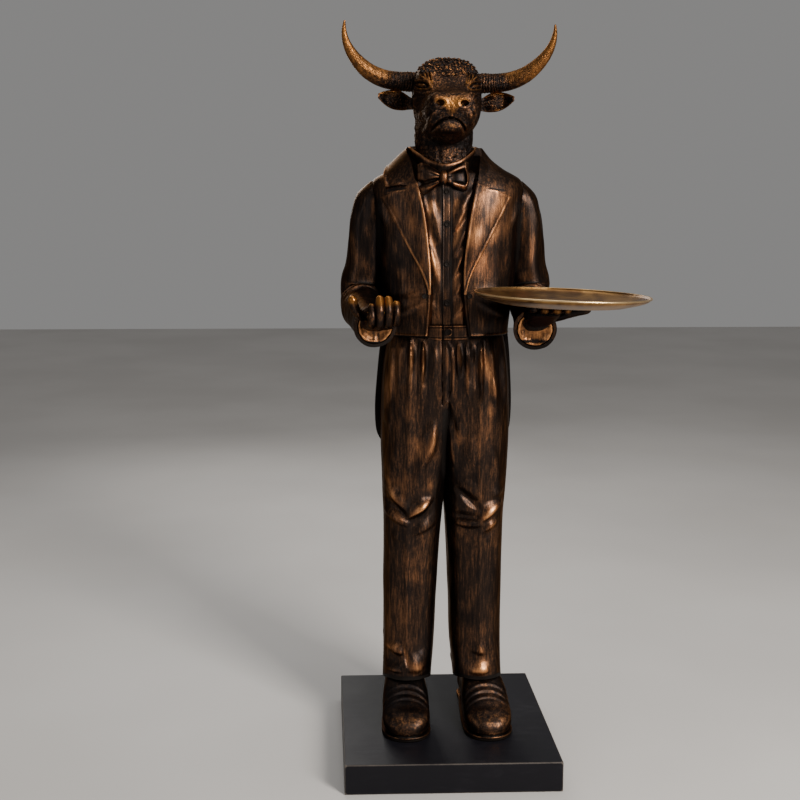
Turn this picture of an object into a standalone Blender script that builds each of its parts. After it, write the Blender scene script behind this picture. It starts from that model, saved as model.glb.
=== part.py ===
"""A life-size cast figure of a waiter with a bull's head, in a tailcoat, on a square plinth.

The figure is one casting: it wears a tailcoat, a pleated dress shirt, a bow tie and trousers. Its
right hand is held out, palm up, with curled fingers, and its left hand carries a round tray. The
plinth and the tray are pieces of their own. Units are metres, +Z is up, and the figure faces -Y.
The origin is the centre of the plinth's underside.
"""

import math

import bmesh
import bpy
import numpy as np
from mathutils import Matrix, Vector

# The plinth
PLINTH_WIDTH = 0.480
PLINTH_DEPTH = 0.480
PLINTH_HEIGHT = 0.068
PLINTH_EDGE = 0.0025

# The figure, from its soles to the higher horn tip
FIGURE_HEIGHT = 1.618

# The tray, and the clearance between pieces that only rest on each other
TRAY_DIAMETER = 0.362
TRAY_FLOOR_DIAMETER = 0.262
TRAY_DEPTH = 0.0215
TRAY_WALL = 0.0025
TRAY_RIM = 0.0040
TRAY_LEAN = math.radians(1.9)
TRAY_SIDES = 40
REST_GAP = 0.0003

# The figure's free form is drawn in metres on a figure of this height, and scaled to the real one
DRAWN_HEIGHT = 1.618
SHARE = FIGURE_HEIGHT / DRAWN_HEIGHT

# Share of the joined figure's triangles that is kept
FACE_SHARE = 0.62

BRONZE = ("bronze", (0.060, 0.038, 0.024), 0.42, 0.9)
BRASS = ("brass", (0.230, 0.130, 0.035), 0.36, 0.95)
BLACK = ("black_plinth", (0.006, 0.006, 0.008), 0.45, 0.0)

# Body and coat sections: height, half width, reach to the front and to the back of their axis
BODY_AXIS_Y = 0.020
BODY_POWER = 2.5
BODY = (
    (0.880, 0.118, 0.088, 0.095),
    (0.950, 0.118, 0.094, 0.090),
    (1.050, 0.128, 0.100, 0.088),
    (1.150, 0.145, 0.104, 0.090),
    (1.220, 0.153, 0.101, 0.092),
    (1.270, 0.140, 0.088, 0.088),
    (1.300, 0.112, 0.074, 0.076),
    (1.330, 0.085, 0.058, 0.058),
)
COAT = (
    (0.918, 0.142, 0.106, 0.112),
    (0.950, 0.145, 0.107, 0.106),
    (1.050, 0.156, 0.112, 0.100),
    (1.150, 0.166, 0.116, 0.103),
    (1.220, 0.172, 0.114, 0.105),
    (1.250, 0.174, 0.106, 0.103),
    (1.270, 0.164, 0.096, 0.098),
    (1.290, 0.130, 0.083, 0.088),
    (1.310, 0.103, 0.070, 0.075),
    (1.338, 0.080, 0.054, 0.060),
)
# The middle of the shirt front, which the bull's slight turn shifts sideways: height and x
FRONT_MIDDLE = ((0.900, -0.0045), (1.050, -0.0090), (1.200, -0.0095), (1.340, -0.0110))
# The coat's front edge: height and distance from the middle
COAT_EDGE = (
    (0.918, 0.0465),
    (0.970, 0.0410),
    (1.020, 0.0370),
    (1.045, 0.0375),
    (1.120, 0.0450),
    (1.188, 0.0565),
    (1.237, 0.0680),
    (1.330, 0.0840),
)
# The lapel's outer edge, from the closing point up to its tip
LAPEL_EDGE = (
    (1.020, 0.0430),
    (1.056, 0.0550),
    (1.121, 0.0880),
    (1.174, 0.1160),
    (1.228, 0.1450),
)
# The bow tie: its middle, its reach to a side, a lobe's half height and thickness by share of the
# reach, and the knot's rise, lead, width and depth
BOW = (-0.0180, -0.082, 1.267)
BOW_REACH = 0.060
BOW_LOBE = (
    (0, 0.009, 0.008),
    (0.3, 0.016, 0.010),
    (0.7, 0.028, 0.011),
    (0.92, 0.032, 0.008),
    (1, 0.029, 0.005),
)
BOW_KNOT = (
    (-0.013, 0.004, 0.009, 0.006),
    (-0.008, 0.007, 0.013, 0.009),
    (0.008, 0.007, 0.013, 0.009),
    (0.013, 0.004, 0.009, 0.006),
)
SHIRT_BUTTONS = (1.240, 1.169, 1.081, 0.994)
LAPEL_LIFT = 0.0045
COLLAR_LIFT = 0.0035
COLLAR_DEPTH = 0.026
COAT_THICKNESS = 0.012
EDGE_SLANT = math.radians(3)
LAPEL_FOOT = 1.0140
LAPEL_OVERHANG = 0.0020

# Edges of the coat's collar, from the notch over the shoulder to the back of the neck
COLLAR_INNER = (
    (0.093, -0.074, 1.249),
    (0.090, -0.050, 1.296),
    (0.085, 0.010, 1.334),
    (0.060, 0.068, 1.342),
    (0.0, 0.088, 1.344),
)
COLLAR_OUTER = (
    (0.134, -0.060, 1.246),
    (0.136, -0.014, 1.278),
    (0.116, 0.058, 1.298),
    (0.070, 0.110, 1.290),
    (0.0, 0.124, 1.286),
)
# The coat's tails: height, half width and reach to the back
TAIL = (
    (0.603, 0.158, 0.136),
    (0.750, 0.162, 0.141),
    (0.850, 0.154, 0.131),
    (0.940, 0.143, 0.111),
)

# One trouser leg: height, middle, half width, front, back, and the power of its inner side, which
# grows towards the hips so that the two legs close to one front
LEG_POWER = 2.35
LEG = (
    (0.091, 0.0860, 0.0570, -0.044, 0.092, 2.35),
    (0.130, 0.0840, 0.0580, -0.040, 0.096, 2.35),
    (0.176, 0.0815, 0.0600, -0.032, 0.100, 2.35),
    (0.300, 0.0790, 0.0630, -0.034, 0.105, 2.35),
    (0.420, 0.0760, 0.0655, -0.042, 0.100, 2.35),
    (0.486, 0.0740, 0.0685, -0.049, 0.098, 2.35),
    (0.545, 0.0725, 0.0725, -0.053, 0.105, 2.50),
    (0.600, 0.0705, 0.0755, -0.058, 0.115, 3.00),
    (0.665, 0.0700, 0.0785, -0.066, 0.130, 4.50),
    (0.750, 0.0690, 0.0795, -0.074, 0.142, 8.00),
    (0.830, 0.0655, 0.0790, -0.080, 0.142, 10.0),
    (0.900, 0.0605, 0.0740, -0.080, 0.128, 12.0),
    (0.935, 0.0580, 0.0680, -0.076, 0.110, 12.0),
)
# Heights at which a leg has rings: runs from, to and how many, close where the folds are
LEG_RUNS = ((0.091, 0.190, 6), (0.250, 0.420, 3), (0.455, 0.580, 10), (0.640, 0.770, 3), (0.830, 0.935, 4))
HEM_SLOPE = 0.0165
# How much nearer to the middle the left leg stands, below the knee
LEFT_LEG_SHIFT = 0.004
# Folds and pleats of the trousers in the front view: start, end, width and height, dips below zero.
# The first list is the figure's right leg, on the side of -X, and the second its left leg.
RIGHT_LEG_FOLDS = (
    ((-0.135, 0.567), (-0.094, 0.515), 0.013, 0.008),
    ((-0.140, 0.536), (-0.088, 0.492), 0.011, -0.009),
    ((-0.139, 0.506), (-0.092, 0.480), 0.013, 0.007),
    ((-0.086, 0.500), (-0.039, 0.538), 0.014, 0.011),
    ((-0.125, 0.176), (-0.098, 0.168), 0.014, 0.006),
    ((-0.135, 0.146), (-0.100, 0.146), 0.015, -0.008),
    ((-0.093, 0.185), (-0.078, 0.128), 0.017, 0.008),
    ((-0.035, 0.700), (-0.062, 0.620), 0.017, 0.004),
    ((-0.085, 0.905), (-0.090, 0.790), 0.010, 0.005),
    ((-0.059, 0.898), (-0.061, 0.790), 0.010, 0.006),
    ((-0.128, 0.862), (-0.132, 0.730), 0.012, 0.004),
)
LEFT_LEG_FOLDS = (
    ((0.024, 0.559), (0.071, 0.522), 0.011, -0.009),
    ((0.004, 0.545), (0.064, 0.508), 0.011, 0.007),
    ((0.081, 0.497), (0.116, 0.526), 0.013, 0.011),
    ((0.024, 0.498), (0.077, 0.496), 0.009, -0.008),
    ((0.085, 0.464), (0.116, 0.492), 0.013, 0.008),
    ((0.028, 0.484), (0.073, 0.482), 0.011, 0.006),
    ((0.080, 0.176), (0.088, 0.170), 0.014, 0.005),
    ((0.076, 0.157), (0.094, 0.155), 0.013, -0.006),
    ((0.080, 0.135), (0.090, 0.116), 0.019, 0.008),
    ((0.020, 0.893), (0.023, 0.830), 0.010, 0.006),
    ((0.046, 0.893), (0.042, 0.812), 0.010, 0.004),
    ((0.071, 0.900), (0.073, 0.775), 0.010, 0.005),
    ((0.088, 0.900), (0.100, 0.780), 0.012, 0.006),
)
# The front crease of each leg
CREASES = (((-0.092, 0.10), (-0.090, 0.72)), ((0.082, 0.10), (0.070, 0.72)))
CREASE_WIDTH = 0.008
CREASE_HEIGHT = 0.0075

# The upper arm from the shoulder to the bend: middle, radius across and radius front to back
UPPER_ARM = (
    (0.140, 0.028, 1.262, 0.034, 0.040),
    (0.157, 0.030, 1.236, 0.045, 0.054),
    (0.172, 0.033, 1.190, 0.047, 0.056),
    (0.179, 0.035, 1.130, 0.046, 0.053),
    (0.184, 0.037, 1.070, 0.047, 0.051),
    (0.192, 0.038, 1.040, 0.048, 0.049),
)
BEND = (0.192, -0.019, 1.036)
BEND_RADIUS = 0.057
BEND_SIZE = (0.0480, 0.0480)
# Where each sleeve ends, as its middle, and the cuffs
RIGHT_CUFF = (-0.1715, -0.180, 0.9530)
LEFT_CUFF = (0.1730, -0.172, 0.9445)
CUFF_RADIUS = 0.0462
CUFF_WALL = 0.0045
CUFF_RECESS = 0.018
SHIRT_CUFF_RADIUS = 0.0365
SHIRT_CUFF_REACH = 0.005

# Head sections along its length: y, half width, top and bottom
HEAD_POWER = 2.25
CROWN_POWER = 2.9
HEAD = (
    (0.116, 0.018, 1.466, 1.425),
    (0.108, 0.040, 1.486, 1.400),
    (0.085, 0.060, 1.508, 1.380),
    (0.045, 0.074, 1.527, 1.362),
    (0.000, 0.076, 1.532, 1.350),
    (-0.045, 0.075, 1.526, 1.344),
    (-0.085, 0.0700, 1.502, 1.342),
    (-0.120, 0.0630, 1.470, 1.343),
    (-0.155, 0.058, 1.455, 1.346),
    (-0.190, 0.0555, 1.447, 1.350),
    (-0.213, 0.0530, 1.443, 1.356),
    (-0.232, 0.0490, 1.440, 1.366),
    (-0.244, 0.0410, 1.437, 1.390),
    (-0.250, 0.0260, 1.432, 1.404),
)
# Places of the head's sections: runs from, to and how many
HEAD_RUNS = ((0.116, 0.108, 2), (0.085, -0.050, 6), (-0.072, -0.195, 7), (-0.210, -0.250, 6))
JAW_NARROWING = 0.19
# Carving of the face, mirrored on both sides: place, reach and height, hollows below zero
FACE = (
    ((0.0630, -0.088, 1.470), (0.016, 0.016, 0.011), -0.008),
    ((0.0640, -0.090, 1.469), (0.009, 0.009, 0.006), 0.008),
    ((0.0520, -0.095, 1.492), (0.018, 0.022, 0.009), 0.008),
    ((0.0340, -0.238, 1.430), (0.012, 0.014, 0.012), 0.005),
    ((0.0340, -0.226, 1.402), (0.016, 0.020, 0.010), 0.005),
    ((0.0130, -0.232, 1.372), (0.020, 0.020, 0.010), 0.007),
    ((0.0600, -0.050, 1.400), (0.020, 0.045, 0.030), 0.004),
    ((0.0500, -0.140, 1.430), (0.016, 0.030, 0.016), -0.006),
)
NOSTRIL = (0.0245, -0.250, 1.4180)
NOSTRIL_SIZE = (0.0090, 0.0110, 0.0065)
# The mouth's line from its middle to a corner
MOUTH = (
    (0.000, -0.248, 1.3880),
    (0.018, -0.241, 1.3840),
    (0.034, -0.226, 1.3720),
    (0.046, -0.196, 1.3620),
)
MOUTH_WIDTH = 0.0055
CURL_HEIGHT = 0.005

# Horns: middle line as x, y, z and radius, from inside the skull to the tip
HORN = (
    (0.050, 0.026, 1.484, 0.0220),
    (0.078, 0.022, 1.486, 0.0215),
    (0.108, 0.014, 1.486, 0.0210),
    (0.140, 0.004, 1.490, 0.0200),
    (0.172, -0.010, 1.502, 0.0180),
    (0.197, -0.022, 1.521, 0.0150),
    (0.216, -0.034, 1.544, 0.0115),
    (0.227, -0.044, 1.567, 0.0080),
    (0.231, -0.052, 1.590, 0.0048),
    (0.230, -0.058, 1.606, 0.0022),
)
# The head is turned towards its right and tipped a little to its left, about this point
HEAD_CENTRE = (-0.004, 0.015, 1.462)
HEAD_TURN = math.radians(-2.8)
HEAD_TIP = math.radians(1.3)

# Ears: middle line as x, y, z, half height and half thickness
EAR = (
    (0.062, 0.014, 1.433, 0.010, 0.008),
    (0.080, 0.010, 1.437, 0.014, 0.007),
    (0.100, 0.004, 1.442, 0.021, 0.006),
    (0.122, 0.000, 1.445, 0.021, 0.005),
    (0.140, -0.002, 1.448, 0.014, 0.004),
    (0.153, -0.002, 1.451, 0.005, 0.003),
)
EAR_HOLLOW = 0.009

# Neck sections: height, half width, front and back
NECK = (
    (1.290, 0.068, -0.050, 0.085),
    (1.330, 0.064, -0.052, 0.088),
    (1.365, 0.065, -0.060, 0.096),
    (1.400, 0.064, -0.060, 0.100),
    (1.440, 0.055, -0.040, 0.095),
)

# The right hand, palm up with curled fingers: x of each finger, then y and z of its knuckle, its two
# joints and its tip
RIGHT_FINGERS = (
    (-0.184, ((-0.258, 0.972), (-0.295, 0.970), (-0.312, 0.988), (-0.302, 1.004))),
    (-0.168, ((-0.262, 0.972), (-0.302, 0.971), (-0.318, 1.000), (-0.305, 1.021))),
    (-0.1505, ((-0.262, 0.972), (-0.299, 0.973), (-0.314, 1.001), (-0.302, 1.020))),
    (-0.1335, ((-0.255, 0.973), (-0.288, 0.976), (-0.300, 0.995), (-0.291, 1.009))),
)
RIGHT_PALM = (
    (-0.172, -0.155, 0.959, 0.025, 0.019),
    (-0.173, -0.190, 0.962, 0.027, 0.018),
    (-0.170, -0.215, 0.966, 0.036, 0.018),
    (-0.163, -0.242, 0.970, 0.038, 0.017),
    (-0.160, -0.266, 0.971, 0.034, 0.012),
)
RIGHT_THUMB = (
    (-0.182, -0.212, 0.972),
    (-0.206, -0.240, 0.984),
    (-0.218, -0.258, 1.001),
    (-0.222, -0.264, 1.016),
)
# The left hand, flat under the tray: knuckle, joint and tip of each finger
LEFT_FINGERS = (
    ((0.154, -0.232, 0.991), (0.149, -0.270, 1.0010), (0.147, -0.298, 1.0020)),
    ((0.171, -0.240, 0.992), (0.168, -0.285, 1.0005), (0.166, -0.316, 1.0010)),
    ((0.188, -0.240, 0.992), (0.189, -0.288, 1.0000), (0.190, -0.321, 1.0005)),
    ((0.205, -0.232, 0.991), (0.211, -0.277, 0.9995), (0.214, -0.307, 1.0000)),
)
LEFT_PALM = (
    (0.173, -0.145, 0.955, 0.025, 0.019),
    (0.175, -0.178, 0.962, 0.027, 0.018),
    (0.178, -0.203, 0.977, 0.036, 0.019),
    (0.180, -0.228, 0.988, 0.038, 0.018),
    (0.180, -0.250, 0.993, 0.034, 0.013),
)
LEFT_THUMB = (
    (0.194, -0.188, 0.970),
    (0.219, -0.212, 0.9785),
    (0.244, -0.234, 0.9885),
    (0.265, -0.250, 0.9950),
)
FINGER_RADIUS = 0.0092
THUMB_RADIUS = 0.0105
HAND_TOP = (0.207, -0.280, 1.0085)

# Shoes: distance along from the heel, half width, height of the upper, over a sole
SHOE_AT = (0.0865, 0.142)
SHOE_SPLAY = math.radians(2.0)
SOLE_HEIGHT = 0.010
SOLE_WELT = 0.0020
SHOE = (
    (0.004, 0.028, 0.060),
    (0.018, 0.038, 0.085),
    (0.060, 0.041, 0.108),
    (0.110, 0.043, 0.119),
    (0.150, 0.0455, 0.115),
    (0.180, 0.0500, 0.100),
    (0.205, 0.0540, 0.080),
    (0.230, 0.0540, 0.064),
    (0.252, 0.0480, 0.055),
    (0.268, 0.0360, 0.044),
    (0.277, 0.0180, 0.030),
)


# Shared tools for shapes


def through(stations, where):
    """Reads a smooth curve through rows of (place, values...) at the places in `where`."""
    rows = np.array(stations, float)
    rows = rows[np.argsort(rows[:, 0])]
    place, value = rows[:, 0], rows[:, 1:]
    slope = np.gradient(value, place, axis=0)
    where = np.clip(np.asarray(where, float), place[0], place[-1])
    low = np.clip(np.searchsorted(place, where, side="right") - 1, 0, len(place) - 2)
    step = (place[low + 1] - place[low])[..., None]
    s = ((where - place[low]) / (place[low + 1] - place[low]))[..., None]
    start, end = value[low], value[low + 1]
    rise, fall = slope[low] * step, slope[low + 1] * step
    return (
        start * (1 + 2 * s) * (1 - s) ** 2
        + rise * s * (1 - s) ** 2
        + end * s * s * (3 - 2 * s)
        + fall * s * s * (s - 1)
    )


def along(points, count):
    """Points and values read evenly from a smooth curve through the given rows."""
    rows = np.array(points, float)
    travel = np.concatenate([[0], np.cumsum(np.linalg.norm(np.diff(rows[:, :3], axis=0), axis=1))])
    return through(np.column_stack([travel, rows]), np.linspace(0, travel[-1], count))


def rounded(angle, half_width, front, back, power):
    """Distance from the axis to a rounded section by angle, where -90 degrees faces the front."""
    side = np.abs(np.cos(angle)) / half_width
    depth = np.abs(np.sin(angle)) / np.where(np.sin(angle) < 0, front, back)
    return (side**power + depth**power) ** (-1 / power)


def unit(vectors):
    """The vectors at length one."""
    return vectors / np.maximum(np.linalg.norm(vectors, axis=-1, keepdims=True), 1e-12)


def placed(points):
    """Points drawn on the figure, scaled and set on the plinth."""
    return np.asarray(points, float) * SHARE + (0, 0, PLINTH_HEIGHT + REST_GAP)


def outward(rings):
    """Outward directions on a tube of rings, from its two grid directions."""
    around = np.roll(rings, -1, axis=1) - np.roll(rings, 1, axis=1)
    direction = unit(np.cross(around, np.gradient(rings, axis=0)))
    middle = rings.mean(axis=1, keepdims=True)
    facing = np.sum(direction * (rings - middle))
    return direction if facing > 0 else -direction


def stroke(x, z, start, end, width):
    """A soft ridge, 1 on the line from start to end in the front view and 0 away from it."""
    (x0, z0), (x1, z1) = start, end
    dx, dz = x1 - x0, z1 - z0
    share = np.clip(((x - x0) * dx + (z - z0) * dz) / (dx * dx + dz * dz), 0, 1)
    away = (x - x0 - share * dx) ** 2 + (z - z0 - share * dz) ** 2
    return np.exp(-away / width**2)


PIECES = bpy.data.collections.new("figure_pieces")
CUTS = bpy.data.collections.new("figure_cuts")


def add_mesh(name, points, faces, collection):
    """An object of triangles whose faces point outwards."""
    work = bmesh.new()
    corners = [work.verts.new(p) for p in points]
    for face in faces:
        work.faces.new([corners[i] for i in face])
    bmesh.ops.triangulate(work, faces=work.faces)
    bmesh.ops.recalc_face_normals(work, faces=work.faces)
    if work.calc_volume(signed=True) < 0:
        bmesh.ops.reverse_faces(work, faces=work.faces)
    mesh = bpy.data.meshes.new(name)
    work.to_mesh(mesh)
    work.free()
    mesh.shade_smooth()
    mesh.set_sharp_from_angle(angle=math.radians(50))
    obj = bpy.data.objects.new(name, mesh)
    collection.objects.link(obj)
    return obj


def add_tube(name, rings):
    """A closed piece of the figure over a row of rings, with its two ends filled."""
    rings = placed(rings)
    count, around = rings.shape[:2]
    points = list(rings.reshape(-1, 3)) + [rings[0].mean(axis=0), rings[-1].mean(axis=0)]
    faces = []
    for i in range(count - 1):
        for j in range(around):
            k = (j + 1) % around
            faces.append((i * around + j, i * around + k, (i + 1) * around + k, (i + 1) * around + j))
    last = (count - 1) * around
    for j in range(around):
        k = (j + 1) % around
        faces.append((k, j, count * around))
        faces.append((last + j, last + k, count * around + 1))
    return add_mesh(name, points, faces, PIECES)


def add_slab(name, top, depth):
    """A closed piece of the figure: a patch of surface and its copy sunk by `depth`."""
    across, up = np.gradient(top, axis=1), np.gradient(top, axis=0)
    sunk = top - unit(np.cross(across, up)) * depth
    rows, columns = top.shape[:2]
    points = np.concatenate([placed(top).reshape(-1, 3), placed(sunk).reshape(-1, 3)])
    under = rows * columns
    faces = []
    for i in range(rows - 1):
        for j in range(columns - 1):
            a, b, c, d = i * columns + j, i * columns + j + 1, (i + 1) * columns + j + 1, (i + 1) * columns + j
            faces.append((a, b, c, d))
            faces.append((under + d, under + c, under + b, under + a))
    edge = [j for j in range(columns)]
    edge += [i * columns + columns - 1 for i in range(1, rows)]
    edge += [(rows - 1) * columns + j for j in range(columns - 2, -1, -1)]
    edge += [i * columns for i in range(rows - 2, 0, -1)]
    for a, b in zip(edge, edge[1:] + edge[:1]):
        faces.append((b, a, under + a, under + b))
    return add_mesh(name, points, faces, PIECES)


def tube_rings(rows, around, upright=(0, 0, 1), power=2.0, directions=None):
    """Rings across a path. A row is x, y, z, half size to the side and half size upwards."""
    rows = np.array(rows, float)
    middle = rows[:, :3]
    forward = unit(np.gradient(middle, axis=0)) if directions is None else unit(np.array(directions, float))
    side = unit(np.cross(forward, np.array(upright, float)))
    over = np.cross(side, forward)
    angle = np.linspace(0, 2 * math.pi, around, endpoint=False)
    c, s = np.cos(angle), np.sin(angle)
    reach = (np.abs(c) ** power + np.abs(s) ** power) ** (-1 / power)
    return (
        middle[:, None]
        + side[:, None] * (rows[:, 3, None] * c * reach)[..., None]
        + over[:, None] * (rows[:, 4, None] * s * reach)[..., None]
    )


# The clothes


def body_front(x, z, sections, lift=0.0):
    """The y of the front of the body or the coat at x and z, raised by `lift`."""
    half_width, front, _ = np.moveaxis(through(sections, z), -1, 0)
    share = np.clip(np.abs(x) / (half_width + lift), 0, 0.999)
    return BODY_AXIS_Y - (front + lift) * (1 - share**BODY_POWER) ** (1 / BODY_POWER)


def middle_x(z):
    """x of the middle of the shirt front at height z."""
    return through(FRONT_MIDDLE, z)[..., 0]


def add_shirt():
    """The shirt front, which fills the coat's opening, with soft folds."""
    z = np.linspace(0.912, 1.306, 13)[:, None]
    over = np.linspace(-0.090, 0.090, 11)[None] * (1 - 0.15 * (z > 1.29))
    x, z = np.broadcast_arrays(middle_x(z) + over, z)
    y = body_front(x, z, BODY)
    for side in (-1, 1):
        for low, high in ((0.960, 1.050), (1.040, 1.130), (1.110, 1.190), (1.170, 1.240)):
            start, end = (side * 0.014, low), (side * 0.045, high)
            y = y - 0.005 * stroke(x - middle_x(z), z, start, end, 0.009)
    return add_slab("shirt", np.stack([x, y, z], axis=-1), 0.024)


def add_coat():
    """The coat's body, sunk at the front between its two edges to let the shirt in."""
    z = np.linspace(COAT[0][0], COAT[-1][0], 13)
    half_width, front, back = np.moveaxis(through(COAT, z), -1, 0)
    edge = through(COAT_EDGE, z)[:, 0]
    fine = np.linspace(-math.pi / 2, 0, 200)
    rings = []
    for i, height in enumerate(z):
        reach = rounded(fine, half_width[i], front[i], back[i], BODY_POWER)
        middle = middle_x(height)
        right = np.interp(edge[i] + middle, reach * np.cos(fine), fine)
        left = -math.pi - np.interp(edge[i] - middle, reach * np.cos(fine), fine)
        angle = np.linspace(right, left + 2 * math.pi, 24)
        reach = rounded(angle, half_width[i], front[i], back[i], BODY_POWER)
        inner = np.linspace(left + EDGE_SLANT, right - EDGE_SLANT, 4)
        sunk = rounded(inner, half_width[i], front[i], back[i], BODY_POWER) - 2 * COAT_THICKNESS
        angle, reach = np.concatenate([angle, inner]), np.concatenate([reach, sunk])
        x, y = reach * np.cos(angle), reach * np.sin(angle) + BODY_AXIS_Y
        rings.append(np.stack([x, y, np.full_like(x, height)], axis=-1))
    return add_tube("coat", np.array(rings))


def add_lapel(side):
    """A lapel lying on the coat's front, from the closing point up to the notch."""
    up = np.linspace(0, 1, 9)[:, None]
    over = np.linspace(0, 1, 4)[None]
    z_inner = LAPEL_FOOT + up * (1.245 - LAPEL_FOOT)
    z_outer = LAPEL_FOOT + up * (1.228 - LAPEL_FOOT)
    x_inner = through(COAT_EDGE, z_inner[:, 0]) - LAPEL_OVERHANG * np.clip(4 * up, 0.3, 1)
    x_outer = through(LAPEL_EDGE, z_outer[:, 0])
    z = z_inner + over * (z_outer - z_inner)
    x = middle_x(z) + side * (x_inner + over * (x_outer - x_inner))
    bulge = 0.002 * np.sin(math.pi * over) * np.clip(3 * up, 0, 1)
    y = body_front(x, z, COAT, LAPEL_LIFT + bulge)
    top = np.stack([x, y, z], axis=-1)
    return add_slab("lapel", top if side > 0 else top[:, ::-1], LAPEL_LIFT + 0.006)


def add_collar(side):
    """Half of the coat's collar, which falls from the neck on to the shoulders."""
    inner, outer = along(COLLAR_INNER, 9)[:, None], along(COLLAR_OUTER, 9)[:, None]
    over = np.linspace(0, 1, 4)[None, :, None]
    top = inner + over * (outer - inner)
    top[..., 2] += COLLAR_LIFT + 0.005 * np.sin(math.pi * over[..., 0])
    top[..., 1] -= COLLAR_LIFT * np.clip(-top[..., 1] / 0.05, 0, 1)
    top[-1, :, 0] = -0.002
    top[..., 0] = middle_x(1.3) + side * top[..., 0]
    return add_slab("collar", top if side > 0 else top[:, ::-1], COLLAR_DEPTH)


def add_shirt_collar():
    """The shirt's collar as a low band round the neck, lower at the front."""
    angle = np.linspace(0, 2 * math.pi, 22, endpoint=False)
    front = np.clip(-np.sin(angle), 0, 1)
    rings = []
    for lift, grow in ((-0.034, 0.000), (0.000, 0.006), (0.014, 0.0060), (0.010, -0.010)):
        reach = rounded(angle, 0.071 + grow, 0.070 + grow, 0.066 + grow, 2.0)
        x, y = middle_x(1.3) + reach * np.cos(angle), 0.018 + reach * np.sin(angle)
        rings.append(np.stack([x, y, 1.328 + lift - 0.040 * front**2], axis=-1))
    return add_tube("shirt_collar", np.array(rings))


def add_bow_tie():
    """The bow tie: two pleated lobes and a knot."""
    x, y, z = BOW
    angle = np.linspace(0, 2 * math.pi, 14, endpoint=False)[None]
    reach = np.linspace(0, 1, 6)[:, None]
    half_height, thick = (v[:, None] for v in np.moveaxis(through(BOW_LOBE, reach[:, 0]), -1, 0))
    pleat = 1 + 0.3 * np.cos(4 * angle) * np.clip(1.5 * reach, 0, 1)
    for side in (-1, 1):
        across = x + side * (BOW_REACH * reach - 0.004) + 0 * angle
        up = z + half_height * np.sin(angle) + side * 0.002 * reach
        out = y + 0.010 * reach + thick * pleat * np.cos(angle)
        add_tube("bow_lobe", np.stack([across, out, up], axis=-1))
    knot = [(x, y - ahead, z + rise, wide, deep) for rise, ahead, wide, deep in BOW_KNOT]
    add_tube("bow_knot", tube_rings(knot, 10, upright=(0, -1, 0)))


def add_shirt_front():
    """The shirt's button strip and its buttons, and the waistband with its button."""
    z = np.linspace(0.935, 1.262, 8)[:, None]
    x = middle_x(z) + np.linspace(-0.0095, 0.0095, 3)[None]
    x, z = np.broadcast_arrays(x, z)
    add_slab("button_strip", np.stack([x, body_front(x, z, BODY, 0.003), z], axis=-1), 0.010)
    for height in SHIRT_BUTTONS:
        x = float(middle_x(height))
        add_button(x, body_front(x, height, BODY, 0.003), height, 0.0052, 0.0022)
    z = np.linspace(0.908, 0.943, 3)[:, None]
    x = middle_x(z) + np.linspace(-0.062, 0.062, 9)[None]
    x, z = np.broadcast_arrays(x, z)
    add_slab("waistband", np.stack([x, body_front(x, z, BODY, 0.005), z], axis=-1), 0.014)
    add_button(-0.001, body_front(0.0, 0.929, BODY, 0.005), 0.929, 0.0085, 0.0030)


def add_button(x, y, z, radius, height):
    """A round button that faces the front and is let into what carries it."""
    steps = ((0.004, radius), (-0.6 * height, radius), (-height, 0.7 * radius))
    rows = [(x, y + step, z, size, size) for step, size in steps]
    add_tube("button", tube_rings(rows, 8, directions=[(0, -1, 0)] * 3))


def add_leg(side):
    """A trouser leg with its crease, its pleats and the folds at the knee and the shoe."""
    z = np.concatenate([np.linspace(*run) for run in LEG_RUNS])
    middle, half_width, front, back, inner = (v[:, None] for v in np.moveaxis(through(LEG, z), -1, 0))
    axis_y = (front + back) / 2
    share = np.linspace(-1, 1, 26, endpoint=False)[None]
    angle = -math.pi / 2 + math.pi * share * (0.55 + 0.45 * np.abs(share))
    power = np.where(np.cos(angle) < 0, inner, LEG_POWER)
    reach = rounded(angle, half_width, axis_y - front, back - axis_y, power)
    if side > 0:
        middle = middle - LEFT_LEG_SHIFT * np.clip((0.60 - z[:, None]) / 0.1, 0, 1)
    x, y = middle + reach * np.cos(angle), axis_y + reach * np.sin(angle)
    z = np.broadcast_to(z[:, None], x.shape)
    facing = np.clip(-np.sin(angle), 0, 1)
    raised = CREASE_HEIGHT * stroke(side * x, z, *CREASES[side > 0], CREASE_WIDTH)
    for start, end, width, height in LEFT_LEG_FOLDS if side > 0 else RIGHT_LEG_FOLDS:
        raised = raised + height * stroke(side * x, z, start, end, width)
    raised = raised * facing
    x, y = x + raised * np.cos(angle), y + raised * np.sin(angle)
    slope = HEM_SLOPE * np.clip((0.135 - z) / 0.05, 0, 1) * np.clip(-(y - 0.03) / 0.06, -1, 1)
    return add_tube("leg", np.stack([side * x, y, z + slope], axis=-1))


def add_tail(side):
    """One of the coat's two tails, which hangs from the waist behind the leg."""
    z = np.linspace(TAIL[0][0], TAIL[-1][0], 7)
    half_width, back = (v[:, None] for v in np.moveaxis(through(TAIL, z), -1, 0))
    drop = np.linspace(1, 0, 7)[:, None]
    start = math.radians(4) + math.radians(15) * drop
    angle = start + np.linspace(0, 1, 8)[None] * (math.radians(88) - start)
    reach = rounded(angle, half_width, back, back, 2.6) + 0.004 * np.cos(7 * angle) * drop
    x, y = side * reach * np.cos(angle), BODY_AXIS_Y + reach * np.sin(angle)
    top = np.stack(np.broadcast_arrays(x, y, z[:, None]), axis=-1)
    return add_slab("tail", top[:, ::-1] if side < 0 else top, 0.026)


# The arms and hands


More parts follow.
